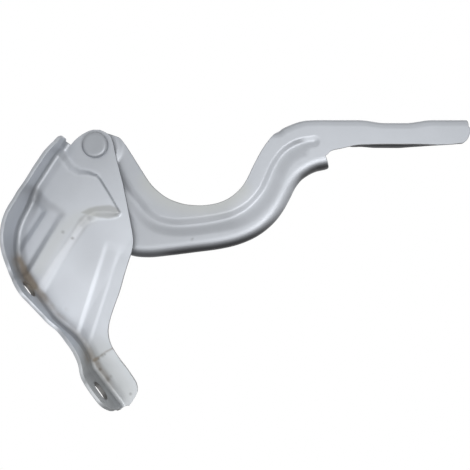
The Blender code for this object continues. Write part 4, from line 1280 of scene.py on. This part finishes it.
# %% Camera
CAMERA_DISTANCE = 450.0 * MM
HALF_FRAME = 235.0
PIXEL = 0.75 * MM
SENSOR_WIDTH = 36.0
camera_data = bpy.data.cameras.new("camera")
camera_data.sensor_width = SENSOR_WIDTH
camera_data.lens = SENSOR_WIDTH / 2 / (HALF_FRAME * PIXEL / CAMERA_DISTANCE)
camera_data.clip_start = 0.01
camera = link("camera", camera_data)
camera.location = PIVOT + np.array([104.7 * MM, -CAMERA_DISTANCE, -67.3 * MM])
camera.rotation_euler = (math.pi / 2, 0.0, 0.0)
bpy.context.scene.camera = camera
print("camera lens in mm:", round(camera_data.lens, 2))

# %% Lights: name, place from the object's middle in metres, width and height, and power in watts
LIGHTS = (
    ("low_front", (0.0, -1.0, -0.42), (1.5, 0.6), 4.4),
    ("key", (0.4, -0.95, -0.28), (0.35, 0.35), 2.6),
    ("camera_side", (0.1, -1.1, 0.15), (0.8, 0.8), 1.2),
    ("overhead", (0.1, -0.35, 1.0), (0.9, 0.9), 1.0),
    ("behind", (0.2, 1.1, 0.4), (0.9, 0.9), 4.0),
)
middle = (np.array(cad_low) + np.array(cad_high)) / 2


def soft_light(name, offset, size, power):
    """An area light at offset from the object's middle, turned to face it: its own -z axis tips
    up from straight down by atan2(level distance, drop), and then turns to the side."""
    data = bpy.data.lights.new(name, "AREA")
    data.shape = "RECTANGLE"
    data.size, data.size_y = size
    data.energy = power
    light = link(name, data)
    light.location = middle + np.array(offset)
    x, y, z = (-distance for distance in offset)
    light.rotation_euler = (math.atan2(math.hypot(x, y), -z), 0.0, math.atan2(y, x) - math.pi / 2)


for row in LIGHTS:
    soft_light(*row)
print("lights:", ", ".join(row[0] for row in LIGHTS))

# %% World
AMBIENT = 0.12
world = bpy.data.worlds.new("studio")
bpy.context.scene.world = world
world.use_nodes = True
tree = world.node_tree
background = tree.nodes["Background"]
background.inputs["Color"].default_value = (1.0, 1.0, 1.0, 1.0)
rays = tree.nodes.new("ShaderNodeLightPath")
seen = math_node(tree, "MAXIMUM", rays.outputs["Is Camera Ray"], rays.outputs["Is Glossy Ray"])
seen = math_node(tree, "MAXIMUM", seen, rays.outputs["Is Transmission Ray"])
level = math_node(tree, "MULTIPLY_ADD", seen, 1.0 - AMBIENT, AMBIENT)
tree.links.new(level, background.inputs["Strength"])

# %% Floor
FLOOR_RADIUS = 0.5
FLOOR_CENTRE = 0.13
FLOOR_DROP = 0.3
FLOOR_CORNERS = 64
angle = np.linspace(0.0, math.tau, FLOOR_CORNERS, endpoint=False)
level = np.full(FLOOR_CORNERS, cad_low.z - FLOOR_DROP)
x, y = FLOOR_RADIUS * np.cos(angle) + FLOOR_CENTRE, FLOOR_RADIUS * np.sin(angle)
circle = np.stack([x, y, level], axis=1)
floor_mesh = bpy.data.meshes.new("floor")
floor_mesh.from_pydata(circle, [], [list(range(FLOOR_CORNERS))])
floor = link("floor", floor_mesh)
pale = bpy.data.materials.new("pale_floor")
pale.use_nodes = True
shader = pale.node_tree.nodes["Principled BSDF"]
shader.inputs["Base Color"].default_value = (0.9, 0.9, 0.9, 1.0)
shader.inputs["Roughness"].default_value = 0.9
floor_mesh.materials.append(pale)
bpy.context.scene.view_settings.view_transform = "Standard"
print("floor below the object, mm:", round(FLOOR_DROP / MM))
